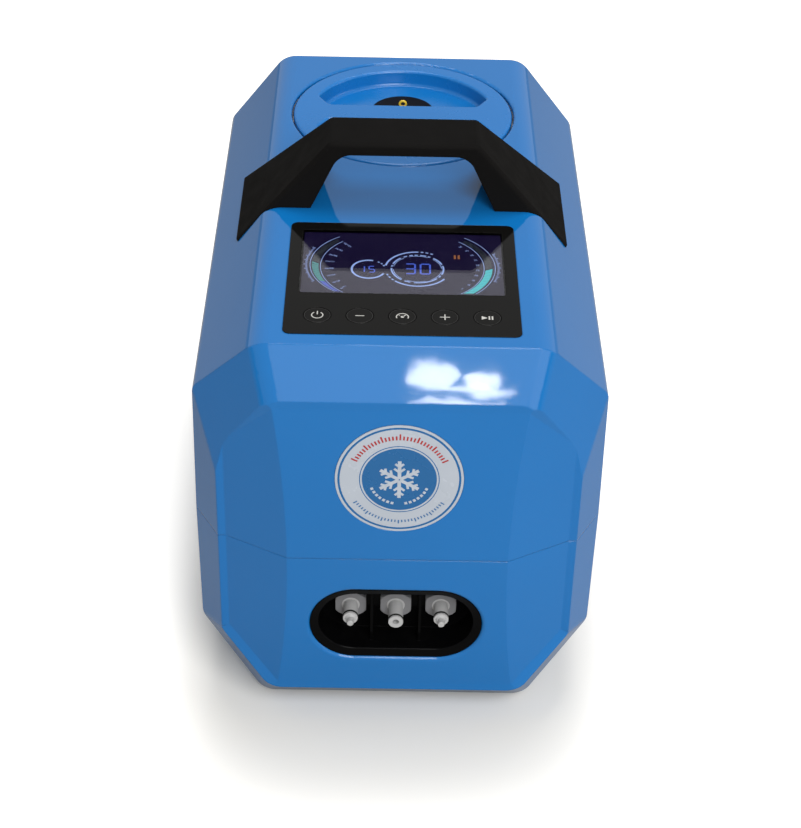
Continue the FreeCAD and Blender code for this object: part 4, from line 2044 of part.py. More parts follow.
def block_hose():
    """From the pump's outlet to the cold block."""
    x = FAN_OFFSET - BLOCK_NIPPLE_X
    return tube(
        [
            V(VOLUTE_OUTLET_X, VOLUTE_OUTLET_Y - 10, VOLUTE_OUTLET_Z),
            V(VOLUTE_OUTLET_X, VOLUTE_OUTLET_Y + 12, VOLUTE_OUTLET_Z),
            V(x, BULKHEAD_Y - 14, BLOCK_NIPPLE_Z),
            V(x, COLD_BLOCK_FRONT - 2, BLOCK_NIPPLE_Z),
        ],
        HOSE_RADIUS,
        NIPPLE_RADIUS,
    )


def supply_hose():
    """From the cold block to the left coupling."""
    x = FAN_OFFSET + BLOCK_NIPPLE_X
    return tube(
        [
            V(x, COLD_BLOCK_FRONT - 2, BLOCK_NIPPLE_Z),
            V(x, PSU_FRONT - 10, BLOCK_NIPPLE_Z),
            V(-COUPLING_SPACING, BARB_BACK + 14, PORT_Z),
            V(-COUPLING_SPACING, SHANK_BACK + 2, PORT_Z),
        ],
        HOSE_RADIUS,
        NIPPLE_RADIUS,
    )


def return_hose():
    """From the right coupling back to the tank."""
    return tube(
        [
            V(COUPLING_SPACING, SHANK_BACK + 2, PORT_Z),
            V(COUPLING_SPACING, BARB_BACK + 10, PORT_Z),
            V(HOSE_PASS_X, AIR_PUMP_FRONT + 50, HOSE_PASS_Z),
            V(HOSE_PASS_X, JACKET_FRONT - 2, HOSE_PASS_Z),
        ],
        HOSE_RADIUS,
        NIPPLE_RADIUS,
    )


def air_hose():
    """From the air pump to the middle coupling."""
    return tube(
        [
            V(0, SHANK_BACK + 2, PORT_Z),
            V(0, BARB_BACK + 8, PORT_Z),
            V(AIR_NIPPLE_X, AIR_NIPPLE_Y, AIR_PUMP_TOP + 24),
            V(AIR_NIPPLE_X, AIR_NIPPLE_Y, AIR_PUMP_TOP + PAST),
        ],
        HOSE_RADIUS,
        NIPPLE_RADIUS,
        AIR_HOSE_BEND,
    )


# ---------------------------------------------------------------- all parts
def all_parts():
    parts = {
        "upper_housing": upper_housing(),
        "lower_housing": lower_housing(),
        "rear_grille": rear_grille(),
        "housing_screws": housing_screws(),
        "internal_screws": internal_screws(),
        "carry_handle": carry_handle(),
        "handle_screws": handle_screws(),
        "badge_disc": badge_disc(),
        "display_bezel": display_bezel(),
        "display_window": display_window(),
        "lcd_panel": lcd_panel(),
        "display_board": display_board(),
        "button_switches": button_switches(),
        "tank_lid": tank_lid(),
        "lid_skirt": lid_skirt(),
        "lid_gasket": lid_gasket(),
        "lid_vent_base": lid_vent_base(),
        "lid_vent_pin": lid_vent_pin(),
        "lid_collar": lid_collar(),
        "water_tank": water_tank(),
        "tank_jacket": tank_jacket(),
        "tank_strainer": tank_strainer(),
        "tank_frame": tank_frame(),
        "port_housing": port_housing(),
        "water_coupling_left": water_coupling(-COUPLING_SPACING),
        "water_coupling_right": water_coupling(COUPLING_SPACING),
        "air_coupling": air_coupling(),
        "coupling_nuts": coupling_nuts(),
        "coupling_seals": coupling_seals(),
        "valve_poppet_left": valve_poppet(-COUPLING_SPACING),
        "valve_poppet_right": valve_poppet(COUPLING_SPACING),
        "peltier_modules": peltier_modules(),
        "cold_block": cold_block(),
        "heatsink": heatsink(),
        "fan_frame": fan_frame(),
        "fan_rotor": fan_rotor(),
        "chassis_plate": chassis_plate(),
        "pump_motor": pump_motor(),
        "pump_volute": pump_volute(),
        "pump_impeller": pump_impeller(),
        "air_pump": air_pump(),
        "air_valve": air_valve(),
        "power_supply": power_supply(),
        "control_board": control_board(),
        "power_inlet": power_inlet(),
        "power_rocker": power_rocker(),
        "pump_hose": pump_hose(),
        "block_hose": block_hose(),
        "supply_hose": supply_hose(),
        "return_hose": return_hose(),
        "air_hose": air_hose(),
    }
    for name, x in key_places():
        parts[f"button_{name}"] = key(x)
    parts.update(feet())
    return parts


os.makedirs("parts", exist_ok=True)
for part_name, part_shape in all_parts().items():
    part_shape.exportStep(f"parts/{part_name}.step")
    print(part_name, len(part_shape.Solids), round(part_shape.Volume), part_shape.isValid())
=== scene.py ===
import json
import math

import bmesh
import bpy
from mathutils import Matrix, Vector


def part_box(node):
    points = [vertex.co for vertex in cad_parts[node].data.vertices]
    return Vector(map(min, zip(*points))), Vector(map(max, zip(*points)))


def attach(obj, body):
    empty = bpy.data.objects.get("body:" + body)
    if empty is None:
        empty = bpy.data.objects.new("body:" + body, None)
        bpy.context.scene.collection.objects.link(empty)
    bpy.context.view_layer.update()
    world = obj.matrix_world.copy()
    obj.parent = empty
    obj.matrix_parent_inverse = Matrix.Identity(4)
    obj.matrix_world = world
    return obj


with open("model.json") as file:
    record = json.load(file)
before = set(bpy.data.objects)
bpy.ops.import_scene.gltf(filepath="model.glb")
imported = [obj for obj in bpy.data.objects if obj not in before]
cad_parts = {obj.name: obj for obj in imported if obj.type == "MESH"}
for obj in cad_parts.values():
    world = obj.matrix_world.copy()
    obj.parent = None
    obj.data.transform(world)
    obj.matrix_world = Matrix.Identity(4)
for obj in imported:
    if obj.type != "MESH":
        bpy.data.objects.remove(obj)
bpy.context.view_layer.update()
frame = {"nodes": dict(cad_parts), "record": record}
nodes = frame["nodes"]
MM = 0.001

# ---------------------------------------------------------------- node helpers
NOISE_LOW, NOISE_HIGH = 0.3, 0.7


class Look:
    """A node material built round one Principled shader."""

    def __init__(self, name, colour, rough, metal=0.0, specular=0.5, ior=1.5):
        self.name = name
        self.mat = bpy.data.materials.new(name)
        self.mat.use_nodes = True
        self.tree = self.mat.node_tree
        self.shader = self.tree.nodes["Principled BSDF"]
        self.colour = colour
        self.set("Base Color", colour + (1.0,))
        self.set("Roughness", rough)
        self.set("Metallic", metal)
        self.set("Specular IOR Level", specular)
        self.set("IOR", ior)
        self.place = self.add("ShaderNodeTexCoord").outputs["Object"]

    def add(self, kind, **values):
        node = self.tree.nodes.new(kind)
        for name, value in values.items():
            setattr(node, name, value)
        return node

    def link(self, source, target):
        self.tree.links.new(source, target)

    def plug(self, value, socket):
        """Link a socket to another one, or give it a number or a colour."""
        if isinstance(value, bpy.types.NodeSocket):
            self.link(value, socket)
        elif isinstance(value, tuple) and len(value) == 3:
            socket.default_value = value + (1.0,)
        else:
            socket.default_value = value

    def set(self, name, value):
        self.shader.inputs[name].default_value = value

    def feed(self, name, source):
        self.link(source, self.shader.inputs[name])

    def stretched(self, scale):
        """Object coordinates multiplied by a vector, for grain that runs one way."""
        node = self.add("ShaderNodeMapping")
        node.inputs["Scale"].default_value = scale
        self.link(self.place, node.inputs["Vector"])
        return node.outputs["Vector"]

    def noise(self, scale, detail=2.0, rough=0.5, place=None, kind="ShaderNodeTexNoise"):
        node = self.add(kind)
        self.link(place or self.place, node.inputs["Vector"])
        node.inputs["Scale"].default_value = scale
        if "Detail" in node.inputs:
            node.inputs["Detail"].default_value = detail
            node.inputs["Roughness"].default_value = rough
        return node.outputs[0]

    def remap(self, source, low, high):
        """A noise spread over a range. Most of a noise lies between NOISE_LOW and NOISE_HIGH."""
        node = self.add("ShaderNodeMapRange")
        self.link(source, node.inputs["Value"])
        node.inputs["From Min"].default_value = NOISE_LOW
        node.inputs["From Max"].default_value = NOISE_HIGH
        node.inputs["To Min"].default_value = low
        node.inputs["To Max"].default_value = high
        return node.outputs["Result"]

    def maths(self, operation, *values):
        node = self.add("ShaderNodeMath", operation=operation)
        for socket, value in zip(node.inputs, values):
            self.plug(value, socket)
        return node.outputs[0]

    def mix(self, factor, first, second, blend="MIX"):
        node = self.add("ShaderNodeMix", data_type="RGBA", blend_type=blend)
        self.plug(factor, node.inputs[0])
        colours = [socket for socket in node.inputs if socket.type == "RGBA"]
        for socket, value in zip(colours, (first, second)):
            self.plug(value, socket)
        return next(socket for socket in node.outputs if socket.type == "RGBA")

    def tinted(self, amount, scale):
        """Slow drift of the colour, darker and lighter by a share."""
        dark = tuple(c * (1 - amount) for c in self.colour)
        light = tuple(min(1.0, c * (1 + amount)) for c in self.colour)
        self.feed("Base Color", self.mix(self.remap(self.noise(scale, 3.0), 0.0, 1.0), dark, light))

    def rough_between(self, low, high, scale):
        self.feed("Roughness", self.remap(self.noise(scale, 4.0), low, high))

    def relief(self, height, strength, distance, edge=0.0):
        """Bump from a height, over edges that are rounded by a radius in metres."""
        bump = self.add("ShaderNodeBump")
        bump.inputs["Strength"].default_value = strength
        bump.inputs["Distance"].default_value = distance
        self.link(height, bump.inputs["Height"])
        if edge:
            bevel = self.add("ShaderNodeBevel", samples=4)
            bevel.inputs["Radius"].default_value = edge
            self.link(bevel.outputs["Normal"], bump.inputs["Normal"])
        self.feed("Normal", bump.outputs["Normal"])


def gloss_plastic(name, colour, rough, edge=0.0, **more):
    look = Look(name, colour, rough, **more)
    look.tinted(0.03, 7.0)
    look.rough_between(rough * 0.85, rough * 1.25, 60.0)
    look.relief(look.noise(60.0, 1.0), 0.12, 0.0003, edge)
    return look


def grained_plastic(name, colour, rough, edge, grain=2600.0, depth=0.35, **more):
    look = Look(name, colour, rough, **more)
    look.tinted(0.06, 12.0)
    look.rough_between(rough * 0.9, rough * 1.12, 90.0)
    look.relief(look.noise(grain, 2.0, 0.6), depth, 0.00006, edge)
    return look


def rubber(name, colour, rough=0.75):
    look = Look(name, colour, rough, specular=0.3)
    look.tinted(0.12, 30.0)
    look.rough_between(rough * 0.9, min(1.0, rough * 1.15), 140.0)
    look.relief(look.noise(1800.0, 3.0), 0.3, 0.00008, 0.0003)
    return look


def brushed_metal(name, colour, rough=0.32, along=(1.0, 30.0, 30.0)):
    look = Look(name, colour, rough, metal=1.0)
    look.tinted(0.05, 15.0)
    lines = look.noise(60.0, 4.0, 0.6, look.stretched(along))
    look.feed("Roughness", look.remap(lines, rough * 0.75, rough * 1.3))
    look.relief(lines, 0.15, 0.00005, 0.0003)
    return look


# ---------------------------------------------------------------- materials
GLOSS_BLACK = (0.0042, 0.0040, 0.0036)
PAPER, INK = (0.43, 0.47, 0.53), (0.008, 0.110, 0.300)
BADGE_RADIUS = 33.5
# Each band of the badge: its inner edge in millimetres and its colour.
BADGE_BANDS = ((0.0, INK), (19.4, PAPER), (20.3, INK), (20.9, PAPER), (31.0, INK), (32.1, PAPER))
badge_low, badge_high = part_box("badge_disc")
BADGE_Z = (badge_low.z + badge_high.z) / 2


def badge_look():
    """White disc with a blue middle and two thin blue rings, from the distance to its centre."""
    look = Look("badge_white", PAPER, 0.22)
    parts = look.add("ShaderNodeSeparateXYZ")
    look.link(look.place, parts.inputs[0])
    drop = look.maths("SUBTRACT", parts.outputs["Z"], BADGE_Z)
    squares = [look.maths("POWER", side, 2.0) for side in (parts.outputs["X"], drop)]
    radius = look.maths("DIVIDE", look.maths("SQRT", look.maths("ADD", *squares)), BADGE_RADIUS * MM)
    ramp = look.add("ShaderNodeValToRGB")
    ramp.color_ramp.interpolation = "CONSTANT"
    look.link(radius, ramp.inputs[0])
    stops = ramp.color_ramp.elements
    while len(stops) < len(BADGE_BANDS):
        stops.new(0.5)
    for stop, (edge, colour) in zip(stops, BADGE_BANDS):
        stop.position = edge / BADGE_RADIUS
        stop.color = colour + (1.0,)
    mottle = look.remap(look.noise(40.0, 3.0), 0.94, 1.0)
    look.feed("Base Color", look.mix(1.0, ramp.outputs["Color"], mottle, "MULTIPLY"))
    look.rough_between(0.2, 0.3, 80.0)
    look.relief(look.noise(900.0, 2.0), 0.05, 0.00005, 0.0002)
    return look


def foam_look():
    look = Look("foam_grey", (0.09, 0.09, 0.10), 0.9, specular=0.2)
    look.tinted(0.2, 60.0)
    cells = look.noise(700.0, kind="ShaderNodeTexVoronoi")
    look.relief(cells, 0.6, 0.0004)
    return look


def ceramic_look():
    look = Look("module_ceramic", (0.80, 0.80, 0.78), 0.6)
    look.tinted(0.05, 80.0)
    look.relief(look.noise(1500.0, 3.0), 0.2, 0.00005)
    return look


def board_look():
    """Solder mask over copper tracks."""
    mask, track = (0.010, 0.120, 0.050), (0.030, 0.230, 0.100)
    look = Look("board_green", mask, 0.3)
    tracks = look.add("ShaderNodeTexBrick")
    look.link(look.place, tracks.inputs["Vector"])
    tracks.inputs["Scale"].default_value = 260.0
    tracks.inputs["Mortar Size"].default_value = 0.06
    look.feed("Base Color", look.mix(tracks.outputs["Fac"], mask, track))
    look.rough_between(0.25, 0.4, 120.0)
    look.relief(tracks.outputs["Fac"], 0.3, 0.00004)
    return look


def screen_look():
    """The dark backlit panel behind the window."""
    look = Look("screen_blue", (0.004, 0.003, 0.008), 0.35, specular=0.05)
    drift = look.remap(look.noise(14.0, 2.0), 0.0, 1.0)
    glow = look.mix(drift, (0.004, 0.002, 0.020), (0.007, 0.004, 0.028))
    look.feed("Emission Color", glow)
    look.set("Emission Strength", 1.0)
    look.relief(look.noise(2500.0, 1.0), 0.1, 0.00003)
    return look


def window_look():
    look = Look("window_smoke", (0.80, 0.80, 0.86), 0.02, ior=1.42)
    look.set("Transmission Weight", 1.0)
    look.rough_between(0.0, 0.03, 30.0)
    look.relief(look.noise(120.0, 1.0), 0.01, 0.0002)
    return look


LOOK_LIST = [
    gloss_plastic("case_blue", (0.004, 0.143, 0.425), rough=0.03, edge=0.0012),
    gloss_plastic("lid_blue", (0.004, 0.150, 0.450), rough=0.24, edge=0.001),
    grained_plastic(
        "handle_black", (0.0070, 0.0066, 0.0063), rough=0.55, depth=0.5, edge=0.0012, specular=0.01
    ),
    gloss_plastic("bezel_black", GLOSS_BLACK, rough=0.06, edge=0.0004, specular=0.12),
    grained_plastic(
        "key_black", GLOSS_BLACK, rough=0.12, grain=1800.0, depth=0.06, edge=0.0003, specular=0.12
    ),
    gloss_plastic("port_black", (0.0018, 0.0018, 0.0020), rough=0.14, edge=0.0005, specular=0.05),
    # The couplings and nuts are darker than their own white and grey: painted shade of the port tunnel
    # they sit in.
    grained_plastic("coupling_white", (0.44, 0.44, 0.44), rough=0.35, depth=0.12, edge=0.0003),
    grained_plastic("coupling_grey", (0.42, 0.42, 0.42), rough=0.35, depth=0.12, edge=0.0003),
    grained_plastic("nut_grey_in_painted_shade", (0.19, 0.19, 0.20), rough=0.35, depth=0.12, edge=0.0003),
    grained_plastic("vent_black", (0.004, 0.004, 0.006), rough=0.45, edge=0.0004, specular=0.05),
    gloss_plastic("vent_yellow", (0.70, 0.48, 0.03), rough=0.3, edge=0.0003),
    grained_plastic("collar_white", (0.62, 0.64, 0.66), rough=0.4, depth=0.15, edge=0.0004),
    grained_plastic("tank_white", (0.66, 0.69, 0.70), rough=0.38, depth=0.2, edge=0.0006),
    grained_plastic("grille_black", (0.012, 0.012, 0.013), rough=0.55, edge=0.0005),
    grained_plastic("pump_black", (0.016, 0.016, 0.017), rough=0.45, edge=0.0004),
    grained_plastic("impeller_white", (0.62, 0.62, 0.62), rough=0.4, depth=0.15, edge=0.0003),
    grained_plastic("inlet_black", (0.013, 0.013, 0.013), rough=0.4, edge=0.0004),
    gloss_plastic("rocker_black", (0.010, 0.010, 0.010), rough=0.22, edge=0.0004),
    gloss_plastic("hose_clear", (0.62, 0.66, 0.68), rough=0.28),
    rubber("seal_black", (0.012, 0.012, 0.012), 0.5),
    rubber("gasket_grey", (0.22, 0.23, 0.25)),
    rubber("foot_black", (0.014, 0.014, 0.014)),
    brushed_metal("sheet_aluminium", (0.68, 0.69, 0.70)),
    brushed_metal("sink_aluminium", (0.58, 0.59, 0.60), 0.38, (30.0, 30.0, 1.0)),
    brushed_metal("motor_steel", (0.52, 0.53, 0.54), 0.3, (30.0, 30.0, 1.0)),
    brushed_metal("screw_steel", (0.42, 0.42, 0.43), 0.28, (30.0, 1.0, 30.0)),
    brushed_metal("air_pump_grey", (0.30, 0.31, 0.32), 0.45),
    brushed_metal("supply_metal", (0.62, 0.63, 0.64), 0.35),
    window_look(),
    screen_look(),
    badge_look(),
    foam_look(),
    ceramic_look(),
    board_look(),
]
LOOKS = {look.name: look for look in LOOK_LIST}
OWN_LOOKS = {"tank_lid": "lid_blue", "lid_skirt": "lid_blue", "coupling_nuts": "nut_grey_in_painted_shade"}
slot_of = {part["node"]: part["material_slot"] for part in frame["record"]["subparts"]}
for name, node in nodes.items():
    node.data.materials.clear()
    node.data.materials.append(LOOKS[OWN_LOOKS.get(name, slot_of[name])].mat)

# ---------------------------------------------------------------- flat shapes
# A shape is a strip of sections and whether the strip closes on itself. A section is a
# pair of points in millimetres, one on each side of the strip.
FULL_TURN = 360


def arc(cx, cy, radius, width, start, end, step=3.0):
    """A bent bar round a centre, its ends in degrees. A full turn closes on itself."""
    count = max(2, math.ceil(abs(end - start) / step))
    inner, outer = radius - width / 2, radius + width / 2
    sections = []
    for i in range(count + 1):
        angle = math.radians(start + (end - start) * i / count)
        c, s = math.cos(angle), math.sin(angle)
        sections.append(((cx + inner * c, cy + inner * s), (cx + outer * c, cy + outer * s)))
    if abs(end - start) == FULL_TURN:
        return sections[:-1], True
    return sections, False


def crescent(inner, outer, low, high, margins, count=24):
    """The band between two circles, from one share of their length to another.

    A circle is (cx, cy, radius, angle at its low end, angle at its high end), and the band
    keeps a margin from each of them.
    """
    sections = []
    for i in range(count + 1):
        share = low + (high - low) * i / count
        pair = []
        for cx, cy, radius, first, last in (inner, outer):
            angle = math.radians(first + (last - first) * share)
            pair.append(Vector((cx + radius * math.cos(angle), cy + radius * math.sin(angle))))
        across = (pair[1] - pair[0]).normalized()
        sections.append((tuple(pair[0] + across * margins[0]), tuple(pair[1] - across * margins[1])))
    return sections, False


def bar(x0, y0, x1, y1, width):
    """A straight bar from one point to another."""
    dx, dy = x1 - x0, y1 - y0
    length = math.hypot(dx, dy)
    ox, oy = -dy / length * width / 2, dx / length * width / 2
    return [((x0 + ox, y0 + oy), (x0 - ox, y0 - oy)), ((x1 + ox, y1 + oy), (x1 - ox, y1 - oy))], False


def quad(a, b, c, d):
    return [(a, b), (d, c)], False


def spoke(angle, inner, outer, width, cx=0.0, cy=0.0):
    """A bar that points away from a centre."""
    c, s = math.cos(math.radians(angle)), math.sin(math.radians(angle))
    return bar(cx + inner * c, cy + inner * s, cx + outer * c, cy + outer * s, width)


def placed(shapes, move):
    """Shapes with each point moved by a function of its x and y."""
    return [
        ([(move(*first), move(*second)) for first, second in sections], closed)
        for sections, closed in shapes
    ]


# A small digit's width, pitch and stroke are shares of its height. The gap between two
# segments is a share of the stroke.
DIGIT_WIDTH, DIGIT_PITCH, DIGIT_STROKE, DIGIT_GAP = 0.52, 0.74, 0.17, 0.35
SEGMENTS = {
    "0": "abcdef", "1": "bc", "2": "abged", "3": "abgcd", "4": "fgbc",
    "5": "afgcd", "6": "afgedc", "7": "abc", "8": "abcdefg", "9": "abcdfg",
}


def digit(char, x, y, width, height, stroke):
    """A seven-segment digit with its lower left corner at x, y."""
    gap = stroke * DIGIT_GAP
    w, h = width - stroke, height - stroke
    x0, y0 = x + stroke / 2, y + stroke / 2
    mid = y0 + h / 2
    ends = {
        "a": (x0 + gap, y0 + h, x0 + w - gap, y0 + h),
        "g": (x0 + gap, mid, x0 + w - gap, mid),
        "d": (x0 + gap, y0, x0 + w - gap, y0),
        "f": (x0, mid + gap, x0, y0 + h - gap),
        "b": (x0 + w, mid + gap, x0 + w, y0 + h - gap),
        "e": (x0, y0 + gap, x0, mid - gap),
        "c": (x0 + w, y0 + gap, x0 + w, mid - gap),
    }
    return [bar(*ends[segment], stroke) for segment in SEGMENTS[char]]


def digits(text, cx, cy, height, tilt):
    """A small row of digits and slashes, centred and turned by tilt degrees."""
    width, pitch, stroke = height * DIGIT_WIDTH, height * DIGIT_PITCH, height * DIGIT_STROKE
    shapes = []
    start = -len(text) * pitch / 2
    for i, char in enumerate(text):
        x = start + i * pitch + (pitch - width) / 2
        if char == "/":
            shapes.append(bar(x, -height / 2, x + width, height / 2, stroke))
        else:
            shapes += digit(char, x, -height / 2, width, height, stroke)
    c, s = math.cos(math.radians(tilt)), math.sin(math.radians(tilt))

    def turned(x, y):
        return cx + x * c - y * s, cy + x * s + y * c

    return placed(shapes, turned)


def flat_piece(name, shapes, look, body, surface, thickness, sink=0.0):
    """Thin closed prisms on a surface(x, y) that gives a point and its outward normal."""
    mesh = bmesh.new()
    for sections, closed in shapes:
        rows = []
        for pair in sections:
            row = []
            for corner in pair:
                point, out = surface(*corner)
                row.append(mesh.verts.new(point - out * sink * MM))
                row.append(mesh.verts.new(point + out * (thickness - sink) * MM))
            rows.append(row)
        count = len(rows)
        for i in range(count if closed else count - 1):
            a, b = rows[i], rows[(i + 1) % count]
            mesh.faces.new((a[1], b[1], b[3], a[3]))
            mesh.faces.new((a[0], a[2], b[2], b[0]))
            mesh.faces.new((a[0], b[0], b[1], a[1]))
            mesh.faces.new((a[2], a[3], b[3], b[2]))
        if not closed:
            for row in (rows[0], rows[-1]):
                mesh.faces.new((row[0], row[1], row[3], row[2]))
    bmesh.ops.recalc_face_normals(mesh, faces=mesh.faces)
    data = bpy.data.meshes.new(name)
    mesh.to_mesh(data)
    mesh.free()
    data.materials.append(look.mat)
    piece = bpy.data.objects.new(name, data)
    bpy.context.scene.collection.objects.link(piece)
    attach(piece, body)


def level(z):
    """A flat surface at a height, as flat_piece takes it."""

    def surface(x, y):
        return Vector((x * MM, y * MM, z)), Vector((0, 0, 1))

    return surface


def glowing(name, colour):
    look = Look(name, tuple(c * 0.2 for c in colour), 0.4)
    dim = tuple(c * 0.82 for c in colour)
    pixels = look.remap(look.noise(1500.0, 1.0), 0.0, 1.0)
    look.feed("Emission Color", look.mix(pixels, dim, colour))
    look.set("Emission Strength", 1.0)
    return look


def ink(name, colour, rough=0.35):
    look = Look(name, colour, rough)
    look.tinted(0.06, 400.0)
    look.relief(look.noise(1600.0, 2.0), 0.1, 0.00002)
    return look


# ---------------------------------------------------------------- display
SCREEN_LIFT = 0.00002
GLOW_DEPTH, BAR_DEPTH = 0.04, 0.03
on_screen = level(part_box("lcd_panel")[1].z + SCREEN_LIFT)


def show(name, shapes, glow, colour, depth=GLOW_DEPTH):
    """A glowing piece on the screen."""
    flat_piece("display_" + name, shapes, glowing("glow_" + glow, colour), "housing", on_screen, depth)


# The edges of the two gauges are circles, as crescent takes them.
LEFT_IN = (-10.3, -79.2, 33.6, 231.5, 131.3)
LEFT_OUT = (-15.8, -77.4, 33.7, 234.5, 123.4)
RIGHT_IN = (10.7, -78.8, 33.0, -52.7, 52.9)
RIGHT_OUT = (12.9, -78.5, 36.8, -45.5, 55.4)
LINE = 0.32
SMALL, BIG = (-18.1, -82.1), (8.0, -81.0)
# Centre, radius, width and step of a dashed ring, and the ends of its dashes in degrees.
RINGS = (
    (SMALL, 9.0, 1.1, 4, [(75, 333)]),
    (SMALL, 9.0, 0.9, 3, [(a, a + 7) for a in (22, 36, 50)]),
    (BIG, 17.2, 1.0, 4, [(88, 170), (226, 326)]),
    (BIG, 17.2, 0.9, 3, [(a, a + 5) for a in (61, 70, 79, 199, 208, 217)]),
    (BIG, 13.9, 0.9, 3, [(20, 52), (60, 66), (70, 84), (89, 96), (100, 108), (114, 122), (130, 160)]),
    (BIG, 13.9, 0.9, 3, [(166, 172), (178, 232), (240, 254), (262, 318), (324, 332), (338, 374)]),
    (BIG, 12.9, LINE, 3, [(a, a + 46) for a in range(4, 305, 60)]),
)
lines = [
    arc(cx, cy, radius, LINE, first, last)
    for cx, cy, radius, first, last in (LEFT_IN, LEFT_OUT, RIGHT_IN, RIGHT_OUT)
]
for centre, radius, width, step, dashes in RINGS:
    lines += [arc(*centre, radius, width, first, last, step) for first, last in dashes]
show("lines", lines, "pale", (0.34, 0.50, 0.90))

LEFT_LABELS = (
    ("40/104", -30.0, -57.6), ("35/95", -34.4, -62.6), ("30/86", -37.4, -68.6), ("25/77", -39.0, -75.0),
    ("20/68", -39.2, -82.0), ("15/59", -38.0, -88.8), ("10/50", -35.2, -95.2), ("5/41", -31.2, -100.6),
)
LEFT_LABEL_HEIGHT, RIGHT_LABEL_HEIGHT = 1.35, 1.45
RIGHT_LABELS = range(50, 0, -5)
RIGHT_LABEL_RADIUS, RIGHT_LABEL_START, RIGHT_LABEL_STEP = 29.6, 45.5, 10.1
TICK_WIDTH, TICK_STEP, LONG_TICK, SHORT_TICK, TICKS_PER_LONG = 0.4, 1.75, 1.9, 1.1, 4


def ticks(circle, radius, start, step, count):
    """Short bars round a circle's centre, with a longer one first and at equal distances."""
    lengths = [SHORT_TICK if i % TICKS_PER_LONG else LONG_TICK for i in range(count)]
    return [
        spoke(start + i * step, radius, radius + length, TICK_WIDTH, *circle[:2])
        for i, length in enumerate(lengths)
    ]


scale = []
for text, cx, cy in LEFT_LABELS:
    tilt = math.degrees(math.atan2(cy - LEFT_IN[1], cx - LEFT_IN[0])) - 180
    scale += digits(text, cx, cy, LEFT_LABEL_HEIGHT, tilt)
for i, number in enumerate(RIGHT_LABELS):
    angle = RIGHT_LABEL_START - i * RIGHT_LABEL_STEP
    cx = RIGHT_IN[0] + RIGHT_LABEL_RADIUS * math.cos(math.radians(angle))
    cy = RIGHT_IN[1] + RIGHT_LABEL_RADIUS * math.sin(math.radians(angle))
    scale += digits(str(number), cx, cy, RIGHT_LABEL_HEIGHT, angle)
scale += ticks(LEFT_OUT, 35.2, 153, TICK_STEP, 33)
scale += ticks(RIGHT_OUT, 38.0, 21, -TICK_STEP, 25)
show("scale", scale, "scale", (0.30, 0.42, 0.80))

readout = digit("3", 1.2, -86.4, 6.0, 10.8, 0.95) + digit("0", 9.2, -86.4, 6.0, 10.8, 0.95)
readout += digit("1", -23.6, -85.4, 3.6, 6.6, 0.7) + digit("5", -18.2, -85.4, 3.6, 6.6, 0.7)
show("readout", readout, "blue", (0.060, 0.140, 0.780))


def segments(inner, outer, margins, low, high, count, lit=0.8):
    """Equal segments along a gauge from one share of its height to another."""
    pitch = (high - low) / count
    starts = [low + i * pitch for i in range(count)]
    return [crescent(inner, outer, start, start + pitch * lit, margins, 3) for start in starts]


LEFT_MARGINS, RIGHT_MARGINS = (1.2, 1.2), (0.9, 1.8)
unlit = [
    crescent(LEFT_IN, LEFT_OUT, 0.55, 0.97, LEFT_MARGINS),
    crescent(RIGHT_IN, RIGHT_OUT, 0.46, 0.97, RIGHT_MARGINS),
]
teal_left = segments(LEFT_IN, LEFT_OUT, LEFT_MARGINS, 0.225, 0.54, 10)
blue_left = segments(LEFT_IN, LEFT_OUT, LEFT_MARGINS, 0.015, 0.225, 8, 0.7)
teal_right = segments(RIGHT_IN, RIGHT_OUT, RIGHT_MARGINS, 0.01, 0.45, 9, 0.93)
show("bar_unlit", unlit, "unlit", (0.004, 0.008, 0.014), BAR_DEPTH)
show("bar_teal", teal_left, "green", (0.030, 0.300, 0.270), BAR_DEPTH)
show("bar_blue", blue_left, "bar_blue", (0.080, 0.150, 0.750), BAR_DEPTH)
show("bar_cyan", teal_right, "cyan", (0.030, 0.600, 0.600), BAR_DEPTH)
show("pause", [bar(x, -70.2, x, -66.4, 1.05) for x in (28.2, 30.3)], "orange", (0.380, 0.130, 0.020))

# ---------------------------------------------------------------- key icons
KEY_Y = -129.3
KEY_X = {"power": -43.8, "minus": -21.9, "mode": 0.0, "plus": 21.9, "play_pause": 43.8}
STROKE, RING_RADIUS, RING_STROKE = 0.55, 6.6, 0.14
ICON_DEPTH, ICON_SINK = 0.05, 0.02
ICONS = {
    "power": [arc(0, 0, 2.9, STROKE, 125, 415, 8), bar(0, 0.6, 0, 3.7, STROKE)],
    "minus": [bar(-2.3, 0, 2.3, 0, STROKE)],
    "mode": [
        arc(0, -0.4, 3.1, STROKE, -25, 205, 8),
        arc(0, -0.4, 0.45, 0.9, 0, FULL_TURN, 30),
        bar(0.2, -0.2, 1.7, 1.3, STROKE),
        bar(-1.9, 0.9, -1.3, 0.5, 0.4),
    ],
    "plus": [
        bar(-2.6, 0, 2.6, 0, STROKE),
        bar(0, -2.6, 0, -STROKE / 2, STROKE),
        bar(0, STROKE / 2, 0, 2.6, STROKE),
    ],
    "play_pause": [
        quad((-3.0, -1.6), (-3.0, 1.6), (-0.15, 0.15), (-0.15, -0.15)),
        bar(0.95, -1.6, 0.95, 1.6, 0.8),
        bar(2.55, -1.6, 2.55, 1.6, 0.8),
    ],
}
icon_ink = ink("icon_white", (0.50, 0.49, 0.46))
# Each key's thin ring is a little lighter than the key: a painted highlight on the edge of its embossed
# ring.
ring_highlight_ink = ink("key_ring_highlight", (0.022, 0.021, 0.020))
